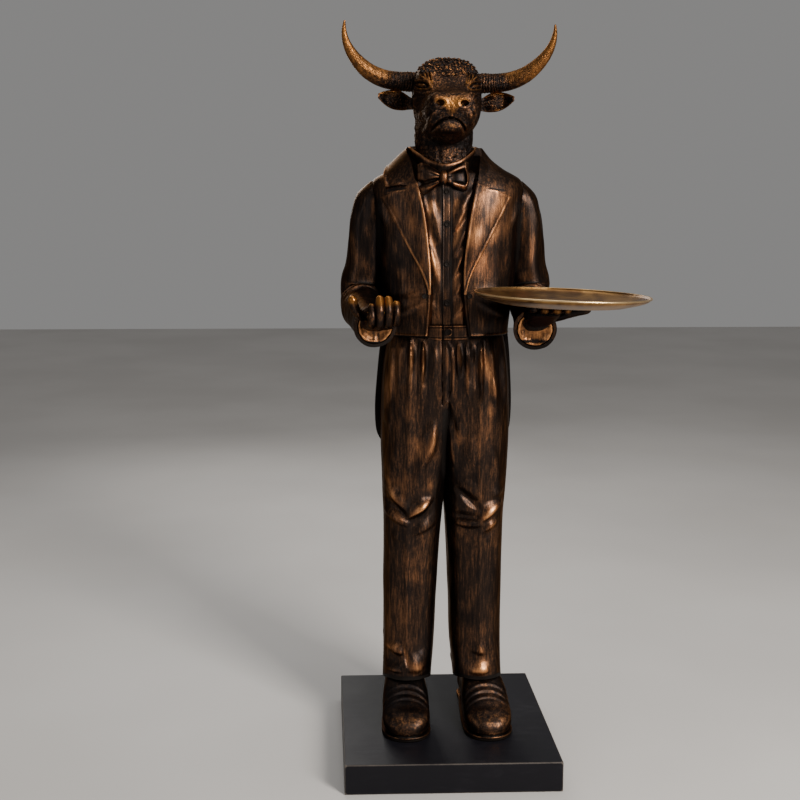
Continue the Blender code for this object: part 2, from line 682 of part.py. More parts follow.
def add_arm(side):
    """A sleeve, bent at the elbow, with its hollow cuff and the shirt's cuff inside it."""
    mirror = np.array([side, 1, 1])
    rows = [(np.array(row[:3]), (0.07, 0.02, -1), *row[3:]) for row in UPPER_ARM]
    for turn in np.radians((25, 50, 72, 90)):
        bend = np.array([0.04, math.cos(turn), -math.sin(turn)])
        rows.append((BEND + BEND_RADIUS * bend, (-0.05, -math.sin(turn), -math.cos(turn)), *BEND_SIZE))
    cuff = np.array(LEFT_CUFF if side > 0 else RIGHT_CUFF) * mirror
    elbow = rows[-1][0]
    aim = unit(cuff - elbow)
    inside = CUFF_RADIUS - CUFF_WALL
    for share, radius in ((0.33, 0.0460), (0.70, 0.0445), (1.0, CUFF_RADIUS), (1.0, inside)):
        rows.append((elbow + share * (cuff - elbow), aim, radius, radius))
    rows.append((cuff - aim * CUFF_RECESS, aim, inside - 0.003, inside - 0.003))
    stations = [(*(middle * mirror), across, deep) for middle, _, across, deep in rows]
    directions = [np.array(direction) * mirror for _, direction, _, _ in rows]
    rings = tube_rings(stations, 16, upright=(0, -0.707, 0.707), directions=directions)
    add_tube("sleeve", rings)
    stations = [
        (*((cuff + aim * reach) * mirror), SHIRT_CUFF_RADIUS - wall, SHIRT_CUFF_RADIUS - wall)
        for reach, wall in ((-0.035, 0.0), (SHIRT_CUFF_REACH, 0.0), (SHIRT_CUFF_REACH, 0.003), (-0.012, 0.005))
    ]
    add_tube("shirt_cuff", tube_rings(stations, 16, directions=[aim * mirror] * 4))


def add_finger(joints, radius):
    """A finger bent smoothly through its joints, with a rounded tip."""
    rows = along([(*joint, radius) for joint in joints], 6)
    ahead = unit(rows[-1, :3] - rows[-2, :3]) * radius
    middle = np.vstack([rows[:, :3], rows[-1, :3] + 0.6 * ahead, rows[-1, :3] + 0.95 * ahead])
    size = radius * np.array([1.05, 1.03, 1.0, 0.98, 0.95, 0.92, 0.75, 0.35])
    add_tube("finger", tube_rings(np.column_stack([middle, size, size]), 7, upright=(1, 0, 0)))


def add_right_hand():
    """The right hand, palm up, with its fingers curled upwards."""
    add_tube("palm", tube_rings(RIGHT_PALM, 12, power=2.6))
    for x, joints in RIGHT_FINGERS:
        add_finger([(x, y, z) for y, z in joints], FINGER_RADIUS)
    add_finger(RIGHT_THUMB, THUMB_RADIUS)


def add_left_hand():
    """The left hand, flat under the tray with its fingers spread and its thumb to the side."""
    add_tube("palm", tube_rings(LEFT_PALM, 12, power=2.6))
    for joints in LEFT_FINGERS:
        add_finger(joints, FINGER_RADIUS)
    add_finger(LEFT_THUMB, THUMB_RADIUS)


# The head


def turned(points):
    """Points of the head, drawn facing the front, turned and tipped as the bull holds it."""
    centre = np.array((0.0, *HEAD_CENTRE[1:]))
    pose = Matrix.Rotation(HEAD_TURN, 3, "Z") @ Matrix.Rotation(HEAD_TIP, 3, "Y")
    return (np.asarray(points, float) - centre) @ np.array(pose).T + HEAD_CENTRE


def add_neck():
    """The neck, from inside the shirt collar up into the skull."""
    z = np.linspace(NECK[0][0], NECK[-1][0], 6)
    half_width, front, back = (v[:, None] for v in np.moveaxis(through(NECK, z), -1, 0))
    axis_y = (front + back) / 2
    angle = np.linspace(0, 2 * math.pi, 18, endpoint=False)[None]
    reach = rounded(angle, half_width, axis_y - front, back - axis_y, 2.0)
    x, y = HEAD_CENTRE[0] - 0.004 + reach * np.cos(angle), axis_y + reach * np.sin(angle)
    return add_tube("neck", np.stack([x, y, np.broadcast_to(z[:, None], x.shape)], axis=-1))


def add_head():
    """The bull's head, lofted from the back of the skull to the nose and shaped on its surface."""
    y = np.concatenate([np.linspace(*run) for run in HEAD_RUNS])
    half_width, top, bottom = (v[:, None] for v in np.moveaxis(through(HEAD, y), -1, 0))
    angle = np.linspace(0, 2 * math.pi, 28, endpoint=False)[None]
    c, s = np.cos(angle), np.sin(angle)
    power = np.where(s > 0, CROWN_POWER, HEAD_POWER)
    reach = (np.abs(c) ** power + np.abs(s) ** power) ** (-1 / power)
    x = half_width * reach * c * (1 - JAW_NARROWING * np.clip(-s, 0, 1))
    z = (top + bottom) / 2 + (top - bottom) / 2 * reach * s
    y = np.broadcast_to(y[:, None], x.shape)
    rings = np.stack([x, y, z], axis=-1)
    raised = np.zeros(x.shape)
    for (px, py, pz), (rx, ry, rz), height in FACE:
        for side in (-1, 1):
            away = ((x - side * px) / rx) ** 2 + ((y - py) / ry) ** 2 + ((z - pz) / rz) ** 2
            raised += height * np.exp(-away)
    crown = np.clip((z - 1.496) / 0.010, 0, 1) * np.clip((y + 0.085) / 0.02, 0, 1)
    raised += crown * CURL_HEIGHT * ((np.arange(28)[None] + np.arange(len(y))[:, None]) % 2)
    return add_tube("head", turned(rings + outward(rings) * raised[..., None]))


def add_face_cuts():
    """Solids cut out of the head: the two nostrils and the line of the mouth."""
    cuts = []
    size, place = np.array(NOSTRIL_SIZE), np.array(NOSTRIL)
    tilt = np.linspace(-1, 1, 7) * math.pi / 2 * 0.98
    angle = np.linspace(0, 2 * math.pi, 10, endpoint=False)
    x, z = np.cos(tilt)[:, None] * np.cos(angle), np.cos(tilt)[:, None] * np.sin(angle)
    ball = np.stack([x, np.broadcast_to(np.sin(tilt)[:, None], x.shape), z], axis=-1) * size
    for side in (-1, 1):
        cuts.append(add_tube("nostril", turned(ball + place * (side, 1, 1))))
    right = np.array(MOUTH)
    rows = np.vstack([(right * (-1, 1, 1))[:0:-1], right])
    middle = along(rows, 15)
    width = MOUTH_WIDTH * np.clip(1.15 - np.abs(np.linspace(-1, 1, 15)) ** 3, 0.2, 1)
    stations = np.column_stack([middle, 1.4 * width, 0.6 * width])
    cuts.append(add_tube("mouth", turned(tube_rings(stations, 8, upright=(0, 0, 1)))))
    return cuts


def add_horn(side):
    """A horn that leaves the skull level, then sweeps forward and up to a point."""
    rows = along(HORN, 12)
    rows[:, 0] *= side
    rows[1:5:2, 3] *= 1.05
    stations = np.column_stack([rows, rows[:, 3]])
    return add_tube("horn", turned(tube_rings(stations, 10, upright=(0, -1, 0))))


def add_ear(side):
    """A leaf-shaped ear with a hollow on its front."""
    rows = along(EAR, 8)
    along_ear, middle_y, middle_z, half_height, thick = (v[:, None] for v in rows.T)
    angle = np.linspace(0, 2 * math.pi, 12, endpoint=False)[None]
    open_share = np.clip((along_ear - 0.075) / 0.02, 0, 1) * np.clip((0.150 - along_ear) / 0.02, 0, 1)
    hollow = open_share * (EAR_HOLLOW * np.clip(np.sin(angle), 0, 1) ** 2 + 0.010)
    x = side * along_ear + 0 * angle
    y = middle_y - thick * np.sin(angle) + hollow
    return add_tube("ear", turned(np.stack([x, y, middle_z + half_height * np.cos(angle)], axis=-1)))


# The shoes


def add_shoe(side):
    """A lace-up shoe: a rounded upper over a sole with a welt."""
    heel_x, heel_y = SHOE_AT
    length = SHOE[-1][0]
    travel = np.append(np.linspace(SHOE[0][0], 0.23, 8), (0.252, 0.268, length))
    half_width, height = np.moveaxis(through(SHOE, travel), -1, 0)
    c, s = math.cos(SHOE_SPLAY), math.sin(SHOE_SPLAY)

    def laid(sideways, travel, z):
        """Points at a distance along the shoe and to its side, on its own splayed line."""
        x = heel_x + sideways * c + travel * s
        y = heel_y - travel * c + sideways * s
        return np.stack(np.broadcast_arrays(side * x, y, z), axis=-1)

    angle = np.linspace(0, 2 * math.pi, 14, endpoint=False)[None]
    reach = (np.abs(np.cos(angle)) ** 2.4 + np.abs(np.sin(angle)) ** 2.4) ** (-1 / 2.4)
    wide = half_width[:, None] * reach * np.cos(angle)
    low, high = SOLE_HEIGHT - 0.004, height[:, None]
    z = (low + high) / 2 + (high - low) / 2 * reach * np.sin(angle)
    add_tube("shoe_upper", laid(wide, travel[:, None], z))

    turn = np.linspace(0, math.pi, 12)
    share = (1 - np.cos(turn)) / 2
    at = SHOE[0][0] + share * (length - SHOE[0][0])
    wide = through(SHOE, at)[:, 0] + SOLE_WELT
    around = np.concatenate([wide, -wide[::-1]])
    over = SOLE_WELT * np.concatenate([-np.cos(turn), -np.cos(turn)[::-1]])
    travel_round = np.concatenate([at, at[::-1]]) + over
    rings = [laid(around, travel_round, np.full(24, z)) for z in (0.0, SOLE_HEIGHT)]
    add_tube("sole", np.array(rings))


# Putting the pieces together


def material(name, colour, roughness, metallic):
    """A Principled material with one colour, roughness and metallic value."""
    made = bpy.data.materials.new(name)
    made.use_nodes = True
    shader = made.node_tree.nodes["Principled BSDF"]
    shader.inputs["Base Color"].default_value = (*colour, 1)
    shader.inputs["Roughness"].default_value = roughness
    shader.inputs["Metallic"].default_value = metallic
    return made


def tray_place():
    """The tray's own frame: on top of the left hand, leaning a little to the side."""
    where = Vector(placed(np.array(HAND_TOP)))
    return Matrix.Translation(where) @ Matrix.Rotation(TRAY_LEAN, 4, "Y")


def build_figure():
    """The figure as one solid: all its pieces joined, then cut flat where the tray rests."""
    base = add_coat()
    PIECES.objects.unlink(base)
    bpy.context.scene.collection.objects.link(base)
    base.name = "figure"
    add_shirt()
    add_shirt_collar()
    add_bow_tie()
    add_shirt_front()
    for side in (-1, 1):
        add_lapel(side)
        add_collar(side)
        add_leg(side)
        add_tail(side)
        add_arm(side)
        add_horn(side)
        add_ear(side)
        add_shoe(side)
    add_right_hand()
    add_left_hand()
    add_neck()
    add_head()
    cuts = [*add_face_cuts(), add_tray_seat()]
    for piece in cuts[:-1]:
        PIECES.objects.unlink(piece)
        CUTS.objects.link(piece)
    for piece in [*PIECES.objects, *CUTS.objects]:
        piece.hide_render = True
        piece.display_type = "WIRE"
    join = base.modifiers.new("Join", "BOOLEAN")
    join.operation = "UNION"
    join.operand_type = "COLLECTION"
    join.collection = PIECES
    cut = base.modifiers.new("Cut", "BOOLEAN")
    cut.operation = "DIFFERENCE"
    cut.operand_type = "COLLECTION"
    cut.collection = CUTS
    thin = base.modifiers.new("Thin", "DECIMATE")
    thin.ratio = FACE_SHARE
    base.data.materials.append(material(*BRONZE))
    return base


def add_tray_seat():
    """The space above the tray's underside, which the hand is cut back from."""
    work = bmesh.new()
    bmesh.ops.create_cone(
        work,
        cap_ends=True,
        segments=TRAY_SIDES,
        radius1=TRAY_FLOOR_DIAMETER / 2,
        radius2=TRAY_DIAMETER / 2,
        depth=TRAY_DEPTH,
        matrix=Matrix.Translation((0, 0, TRAY_DEPTH / 2)),
    )
    mesh = bpy.data.meshes.new("tray_seat")
    work.to_mesh(mesh)
    work.free()
    seat = bpy.data.objects.new("tray_seat", mesh)
    CUTS.objects.link(seat)
    seat.matrix_world = tray_place()
    return seat


def build_tray():
    """The tray, turned: a flat floor, a sloping side and a rolled rim."""
    floor, rim = TRAY_FLOOR_DIAMETER / 2, TRAY_DIAMETER / 2
    side = np.linspace(0, 1, 5)
    slope = floor + (rim - TRAY_RIM - floor) * np.sin(side * math.pi / 2) ** 1.3
    height = (TRAY_DEPTH - TRAY_RIM) * side**1.15
    lip = np.linspace(-0.5, 0.5, 5) * math.pi
    lip_r = rim - TRAY_RIM / 2 + TRAY_RIM / 2 * np.cos(lip)
    lip_z = TRAY_DEPTH - TRAY_RIM / 2 + TRAY_RIM / 2 * np.sin(lip)
    under = [(0, 0)] + list(zip(slope, height)) + list(zip(lip_r, lip_z))
    over = [(r - TRAY_WALL * 0.3, z + TRAY_WALL) for r, z in zip(slope[::-1], height[::-1])]
    profile = under + over + [(0, TRAY_WALL)]
    work = bmesh.new()
    points = [work.verts.new((r, 0, z + REST_GAP)) for r, z in profile]
    edges = [work.edges.new(pair) for pair in zip(points, points[1:])]
    bmesh.ops.spin(
        work,
        geom=points + edges,
        cent=(0, 0, 0),
        axis=(0, 0, 1),
        angle=2 * math.pi,
        steps=TRAY_SIDES,
        use_merge=True,
    )
    bmesh.ops.remove_doubles(work, verts=work.verts, dist=0.00002)
    bmesh.ops.recalc_face_normals(work, faces=work.faces)
    mesh = bpy.data.meshes.new("tray")
    work.to_mesh(mesh)
    work.free()
    mesh.shade_smooth()
    mesh.set_sharp_from_angle(angle=math.radians(40))
    tray = bpy.data.objects.new("tray", mesh)
    bpy.context.scene.collection.objects.link(tray)
    tray.matrix_world = tray_place()
    tray.data.materials.append(material(*BRASS))
    return tray


def build_plinth():
    """The square plinth, with its edges broken by a small bevel."""
    work = bmesh.new()
    bmesh.ops.create_cube(work, size=1)
    bmesh.ops.scale(work, vec=(PLINTH_WIDTH, PLINTH_DEPTH, PLINTH_HEIGHT), verts=work.verts)
    bmesh.ops.translate(work, vec=(0, 0, PLINTH_HEIGHT / 2), verts=work.verts)
    mesh = bpy.data.meshes.new("plinth")
    work.to_mesh(mesh)
    work.free()
    plinth = bpy.data.objects.new("plinth", mesh)
    bpy.context.scene.collection.objects.link(plinth)
    bevel = plinth.modifiers.new("Edges", "BEVEL")
    bevel.width = PLINTH_EDGE
    bevel.segments = 2
    plinth.data.materials.append(material(*BLACK))
    return plinth


for old in list(bpy.data.objects):
    bpy.data.objects.remove(old)
bpy.context.scene.collection.children.link(PIECES)
bpy.context.scene.collection.children.link(CUTS)
build_plinth()
build_figure()
build_tray()
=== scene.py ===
"""The looks of a life-size cast bronze waiter with a bull's head, on a square black plinth.

Each sub-assembly is a class. It holds its sizes, works its surfaces out with numpy as functions of two
parameters on a grid, fuses them into one closed casting and dresses it in a finish. Units are metres,
+Z is up and the figure faces -Y. Heights are drawn from the soles, and BASE lifts them on to the
plinth.
"""

from __future__ import annotations

import logging
import math
from collections.abc import Sequence
from dataclasses import dataclass
from enum import Enum

import bpy
import numpy as np
from mathutils import Matrix, Vector


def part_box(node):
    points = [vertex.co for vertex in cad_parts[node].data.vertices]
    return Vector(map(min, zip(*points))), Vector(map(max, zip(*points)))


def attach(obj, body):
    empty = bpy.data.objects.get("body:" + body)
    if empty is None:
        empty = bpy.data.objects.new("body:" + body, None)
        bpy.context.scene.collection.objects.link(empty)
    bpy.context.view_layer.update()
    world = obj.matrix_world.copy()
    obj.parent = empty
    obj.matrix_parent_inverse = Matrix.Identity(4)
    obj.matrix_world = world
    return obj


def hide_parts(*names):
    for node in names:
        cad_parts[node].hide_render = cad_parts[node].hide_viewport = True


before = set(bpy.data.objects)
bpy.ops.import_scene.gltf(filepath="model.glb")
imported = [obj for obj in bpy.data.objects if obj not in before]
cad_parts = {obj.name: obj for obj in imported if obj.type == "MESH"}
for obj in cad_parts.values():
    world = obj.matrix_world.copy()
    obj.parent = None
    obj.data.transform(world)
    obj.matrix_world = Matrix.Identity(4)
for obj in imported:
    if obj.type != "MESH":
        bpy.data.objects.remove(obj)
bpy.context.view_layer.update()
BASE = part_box("figure")[0].z

Array = np.ndarray
Rows = tuple[tuple[float, ...], ...]
Colour = tuple[float, float, float]
Point2 = tuple[float, float]
Point3 = tuple[float, float, float]
Fold = tuple[Point2, Point2, float, float]

log = logging.getLogger("waiter")


class Side(Enum):
    """The figure's own right and left side, by the sign of x."""

    RIGHT = -1
    LEFT = 1


class Mark(Enum):
    """The attributes on a casting's corners that its finish reads: polished places with painted highlights, dark
    patina with painted shade, and gilding with painted highlights.
    """

    POLISH = "polish"
    RECESS = "recess"
    GILT = "gilt"


# Curves and surfaces


def through(stations: Rows | Array, where: Array) -> Array:
    """Reads a smooth curve through rows of values: a cubic between each pair, with matching slopes.

    Args:
        stations: Rows of a place and the values there.
        where: Places to read at.

    Returns:
        The values at each place, on the last axis.
    """
    rows = np.array(stations, float)
    rows = rows[np.argsort(rows[:, 0])]
    place, value = rows[:, 0], rows[:, 1:]
    slope = np.gradient(value, place, axis=0)
    where = np.clip(np.asarray(where, float), place[0], place[-1])
    low = np.clip(np.searchsorted(place, where, side="right") - 1, 0, len(place) - 2)
    step = (place[low + 1] - place[low])[..., None]
    s = ((where - place[low]) / (place[low + 1] - place[low]))[..., None]
    start, end = value[low], value[low + 1]
    rise, fall = slope[low] * step, slope[low + 1] * step
    return (
        start * (1 + 2 * s) * (1 - s) ** 2
        + rise * s * (1 - s) ** 2
        + end * s * s * (3 - 2 * s)
        + fall * s * s * (s - 1)
    )


def columns_of(stations: Rows | Array, where: Array) -> list[Array]:
    """The values of `through`, one column array (n, 1) for each value."""
    return [column[:, None] for column in np.moveaxis(through(stations, where), -1, 0)]


def along(points: Rows | Array, count: int) -> Array:
    """Reads points and values at even distances on a smooth curve through the given rows.

    Args:
        points: Rows of x, y, z and further values.
        count: How many to read.

    Returns:
        An array of rows like the given ones.
    """
    rows = np.array(points, float)
    travel = np.concatenate([[0], np.cumsum(np.linalg.norm(np.diff(rows[:, :3], axis=0), axis=1))])
    return through(np.column_stack([travel, rows]), np.linspace(0, travel[-1], count))


def rounded(angle: Array, half_width: Array, front: Array, back: Array, power: Array | float) -> Array:
    """Distance from the axis to a superellipse by angle, where -90 degrees faces the front.

    The sum of |cos|/half width and |sin|/depth, each raised to the power, gives the distance when
    it is raised to minus one over the power.

    Args:
        angle: Angles round the axis.
        half_width: Reach to both sides.
        front: Reach to the front.
        back: Reach to the back.
        power: 2 gives an ellipse, more gives a squarer section.

    Returns:
        The distance at each angle.
    """
    side = np.abs(np.cos(angle)) / half_width
    depth = np.abs(np.sin(angle)) / np.where(np.sin(angle) < 0, front, back)
    return (side**power + depth**power) ** (-1 / power)


def unit(vectors: Array) -> Array:
    """The vectors at length one."""
    return vectors / np.maximum(np.linalg.norm(vectors, axis=-1, keepdims=True), 1e-12)


def once_round(count: int) -> Array:
    """Angles at even steps round a circle."""
    return np.linspace(0, 2 * math.pi, count, endpoint=False)


def xyz(x: Array | float, y: Array | float, z: Array | float) -> Array:
    """Places of three coordinates, which are spread over one shape and laid on the last axis."""
    return np.stack(np.broadcast_arrays(x, y, z), axis=-1)


def bump(value: Array, middle: Array | float, reach: float) -> Array:
    """A bell curve: 1 where the value is at the middle, near 0 two reaches away."""
    return np.exp(-(((value - middle) / reach) ** 2))


def fade(value: Array, start: float, end: float) -> Array:
    """A smooth step from 0 at start to 1 at end."""
    share = np.clip((value - start) / (end - start), 0, 1)
    return share * share * (3 - 2 * share)


def stroke(x: Array, z: Array, start: Point2, end: Point2, width: float) -> Array:
    """A soft ridge in the front view: a bell curve of the distance to the line from start to end."""
    (x0, z0), (x1, z1) = start, end
    dx, dz = x1 - x0, z1 - z0
    share = np.clip(((x - x0) * dx + (z - z0) * dz) / (dx * dx + dz * dz), 0, 1)
    away = (x - x0 - share * dx) ** 2 + (z - z0 - share * dz) ** 2
    return np.exp(-away / width**2)


def fold(x: Array, z: Array, start: Point2, end: Point2, width: float) -> Array:
    """A fold in cloth, in the front view: a stroke that thins and sinks towards both of its ends.

    Where it lies flat it is gentle above and steep below: its width grows with the signed distance.
    """
    (x0, z0), (x1, z1) = start, end
    dx, dz = x1 - x0, z1 - z0
    length = math.hypot(dx, dz)
    share = np.clip(((x - x0) * dx + (z - z0) * dz) / length**2, 0, 1)
    away = (x - x0 - share * dx) ** 2 + (z - z0 - share * dz) ** 2
    above = ((z - z0) * dx - (x - x0) * dz) / length * np.sign(dx)
    swell = np.sin(math.pi * share)
    broad = width * (0.65 + 0.5 * swell) * (1 + 0.38 * abs(dx) / length * np.tanh(above / width))
    return (0.3 + 0.7 * swell**0.8) * np.exp(-away / broad**2)


def rubbing_and_highlights_along(x: Array, z: Array, rows: tuple[Fold, ...]) -> Array:
    """The worn-bright copper and painted highlights along each row's line: start, end, width and strength."""
    return sum(strength * fold(x, z, start, end, width) for start, end, width, strength in rows)


def trail(x: Array, z: Array, path: Sequence[Point2], width: float) -> Array:
    """A soft ridge along a path of several points: the highest of the strokes between them."""
    return np.max([stroke(x, z, a, b, width) for a, b in zip(path, path[1:])], axis=0)


def gathers(travel: Array, angle: Array, rows: Rows, reach: float) -> Array:
    """Cloth gathered round a limb: bell curves along it, which lean with the cosine of the angle.

    Args:
        travel: Places along the limb.
        angle: Angles round it.
        rows: Each gather's place, height and lean.
        reach: How far a gather spreads along the limb.

    Returns:
        How far the cloth is raised.
    """
    return sum(height * bump(travel, at + lean * np.cos(angle), reach) for at, height, lean in rows)


def value_noise(points: Array, cell: Point3, seed: int) -> Array:
    """Smooth noise over space: a hashed value at each corner of a lattice, blended inside its cells.

    Args:
        points: Places, with x, y and z on the last axis.
        cell: The lattice's spacing along x, y and z.
        seed: Picks one of many patterns.

    Returns:
        A value from 0 to 1 for each place.
    """
    place = np.asarray(points, float) / np.asarray(cell) + (911.3, 1207.7, 653.1)
    low = np.floor(place).astype(np.int64)
    share = place - low
    share = share * share * (3 - 2 * share)
    total = np.zeros(place.shape[:-1])
    for corner in np.ndindex(2, 2, 2):
        at = low + corner
        mixed = at[..., 0] * 73856093 ^ at[..., 1] * 19349663 ^ at[..., 2] * 83492791 ^ seed * 40503
        mixed = (mixed ^ (mixed >> 13)) * 1274126177
        value = ((mixed ^ (mixed >> 16)) & 0xFFFF) / 0xFFFF
        total += value * np.prod(np.where(corner, share, 1 - share), axis=-1)
    return total


def unevenness(points: Array, cell: Point3, seed: int) -> Array:
    """The same noise about zero, from -0.5 to 0.5."""
    return value_noise(points, cell, seed) - 0.5


def outward(rings: Array) -> Array:
    """Outward directions on a tube of rings: the cross product of its two grid directions."""
    around = np.roll(rings, -1, axis=1) - np.roll(rings, 1, axis=1)
    direction = unit(np.cross(around, np.gradient(rings, axis=0)))
    middle = rings.mean(axis=1, keepdims=True)
    return direction if np.sum(direction * (rings - middle)) > 0 else -direction


# Closed shells


@dataclass
class Shell:
    """A closed surface: its corners, its four-sided faces and its three-sided faces."""

    points: Array
    quads: Array
    triangles: Array

    def __post_init__(self) -> None:
        """Turns the faces round if the volume that they enclose is below zero."""
        fan = np.concatenate([self.triangles, self.quads[:, [0, 1, 2]], self.quads[:, [0, 2, 3]]])
        a, b, c = (self.points[fan[:, i]] for i in range(3))
        if np.sum(a * np.cross(b, c)) < 0:
            self.quads, self.triangles = self.quads[:, ::-1], self.triangles[:, ::-1]


def tube(rings: Array) -> Shell:
    """A shell over a row of rings, shape (count, around, 3), with a fan of faces over each end."""
    count, around = rings.shape[:2]
    points = np.vstack([rings.reshape(-1, 3), rings[0].mean(axis=0), rings[-1].mean(axis=0)])
    grid = np.arange(count * around).reshape(count, around)
    after = np.roll(grid, -1, axis=1)
    quads = np.stack([grid[:-1], after[:-1], after[1:], grid[1:]], axis=-1).reshape(-1, 4)
    first, last = np.full(around, count * around), np.full(around, count * around + 1)
    start = np.stack([after[0], grid[0], first], axis=-1)
    end = np.stack([grid[-1], after[-1], last], axis=-1)
    return Shell(points, quads, np.concatenate([start, end]))


def slab(top: Array, depth: float) -> Shell:
    """A shell between a patch of surface, shape (rows, columns, 3), and its copy sunk by the depth."""
    across, up = np.gradient(top, axis=1), np.gradient(top, axis=0)
    sunk = top - unit(np.cross(across, up)) * depth
    rows, columns = top.shape[:2]
    grid = np.arange(rows * columns).reshape(rows, columns)
    upper = np.stack([grid[:-1, :-1], grid[:-1, 1:], grid[1:, 1:], grid[1:, :-1]], axis=-1).reshape(-1, 4)
    under = rows * columns
    edge = np.concatenate([grid[0, :-1], grid[:-1, -1], grid[-1, :0:-1], grid[:0:-1, 0]])
    after = np.roll(edge, -1)
    rim = np.stack([after, edge, under + edge, under + after], axis=-1)
    quads = np.concatenate([upper, under + upper[:, ::-1], rim])
    return Shell(np.vstack([top.reshape(-1, 3), sunk.reshape(-1, 3)]), quads, np.zeros((0, 3), int))


def across_path(
    rows: Rows | Array,
    around: int,
    upright: Point3 = (0, 0, 1),
    power: float = 2.0,
    directions: Array | None = None,
) -> Array:
    """Rings across a path: at each row a superellipse in the plane square to the path.

    Args:
        rows: Rows of x, y, z, half size to the side and half size upwards.
        around: Points in a ring.
        upright: A direction that is never along the path.
        power: 2 gives ellipses, more gives squarer rings.
        directions: The path's direction at each row, or None to take it from the points.

    Returns:
        The rings, shape (count, around, 3).
    """
    rows = np.array(rows, float)
    middle = rows[:, :3]
    forward = unit(np.gradient(middle, axis=0)) if directions is None else unit(np.array(directions, float))
    side = unit(np.cross(forward, np.array(upright, float)))
    over = np.cross(side, forward)
    angle = once_round(around)
    c, s = np.cos(angle), np.sin(angle)
    reach = (np.abs(c) ** power + np.abs(s) ** power) ** (-1 / power)
    return (
        middle[:, None]
        + side[:, None] * (rows[:, 3, None] * c * reach)[..., None]
        + over[:, None] * (rows[:, 4, None] * s * reach)[..., None]
    )


def domed(rings: Array, rise: float, count: int) -> Array:
    """The rings with their last end closed by a low dome of further rings.

    Each added ring is the last one shrunk towards its middle, and it moves on by the rise times one
    less the square of its size.

    Args:
        rings: The tube's rings.
        rise: The dome's height.
        count: How many rings it has.

    Returns:
        The longer row of rings.
    """
    last, middle = rings[-1], rings[-1].mean(axis=0)
    onward = unit(middle - rings[-2].mean(axis=0))
    size = np.linspace(1, 0.04, count + 1)[1:, None, None]
    return np.concatenate([rings, middle + (last - middle) * size + onward * rise * (1 - size**2)])


def turned_solid(profile: Array, sides: int) -> Shell:
    """A shell turned about the z axis: each point (radius, height) of the profile becomes a ring."""
    angle = once_round(sides)
    radius, height = profile[:, 0, None], profile[:, 1, None]
    rings = xyz(radius * np.cos(angle), radius * np.sin(angle), height)
    return tube(rings)


# Meshes and their marks


def as_object(name: str, shell: Shell) -> bpy.types.Object:
    """A mesh object of a shell, linked to the scene."""
    mesh = bpy.data.meshes.new(name)
    mesh.from_pydata(shell.points.tolist(), [], shell.quads.tolist() + shell.triangles.tolist())
    obj = bpy.data.objects.new(name, mesh)
    bpy.context.scene.collection.objects.link(obj)
    return obj


def fuse(name: str, shells: Sequence[Shell], cuts: Sequence[Shell] = ()) -> bpy.types.Object:
    """One casting of overlapping shells: their union, less the cuts.

    Args:
        name: The piece's name.
        shells: Closed shells that overlap.
        cuts: Closed shells that are taken away.

    Returns:
        The fused object, with its place in its mesh.
    """
    base = as_object(name, shells[0])
    used = []
    for operation, group in (("UNION", shells[1:]), ("DIFFERENCE", cuts)):
        if not group:
            continue
        members = bpy.data.collections.new(name + "_" + operation.lower())
        for shell in group:
            member = as_object(name + "_part", shell)
            bpy.context.scene.collection.objects.unlink(member)
            members.objects.link(member)
            used.append(member)
        change = base.modifiers.new(operation, "BOOLEAN")
        change.operation = operation
        change.operand_type = "COLLECTION"
        change.collection = members
        change.solver = "MANIFOLD"
    graph = bpy.context.evaluated_depsgraph_get()
    mesh = bpy.data.meshes.new_from_object(base.evaluated_get(graph))
    base.modifiers.clear()
    base.data = mesh
    for member in used:
        bpy.data.objects.remove(member)
    mesh.shade_smooth()
    mesh.set_sharp_from_angle(angle=math.radians(42))
    return base


def corners_and_edges(mesh: bpy.types.Mesh) -> tuple[Array, Array]:
    """The mesh's corners, shape (n, 3), and its edges as pairs of corner numbers."""
    points = np.zeros(len(mesh.vertices) * 3)
    mesh.vertices.foreach_get("co", points)
    edges = np.zeros(len(mesh.edges) * 2, int)
    mesh.edges.foreach_get("vertices", edges)
    return points.reshape(-1, 3), edges.reshape(-1, 2)


def from_soles(obj: bpy.types.Object) -> Array:
    """The x, the y and the height over the soles of each corner of a casting."""
    return (corners_and_edges(obj.data)[0] - (0, 0, BASE)).T


def corner_normals(mesh: bpy.types.Mesh, points: Array) -> Array:
    """Each corner's outward direction: the sum of its faces' area vectors, at length one."""
    mesh.calc_loop_triangles()
    corners = np.zeros(len(mesh.loop_triangles) * 3, int)
    mesh.loop_triangles.foreach_get("vertices", corners)
    a, b, c = corners.reshape(-1, 3).T
    area = np.cross(points[b] - points[a], points[c] - points[a])
    total = [
        sum(np.bincount(corner, area[:, axis], len(points)) for corner in (a, b, c)) for axis in range(3)
    ]
    return unit(np.stack(total, axis=-1))


def spread(values: Array, edges: Array, rounds: int) -> Array:
    """The values blended with their neighbours' mean, half and half, again and again."""
    a, b = edges.T
    count = np.maximum(np.bincount(edges.ravel(), minlength=len(values)), 1)
    for _ in range(rounds):
        total = np.bincount(a, values[b], len(values)) + np.bincount(b, values[a], len(values))
        values = 0.5 * values + 0.5 * total / count
    return values


def set_mark(mesh: bpy.types.Mesh, mark: Mark, values: Array) -> None:
    """Stores one number from 0 to 1 for each corner of the mesh."""
    attribute = mesh.attributes.new(mark.value, "FLOAT", "POINT")
    attribute.data.foreach_set("value", np.clip(values, 0, 1).astype(np.float32))


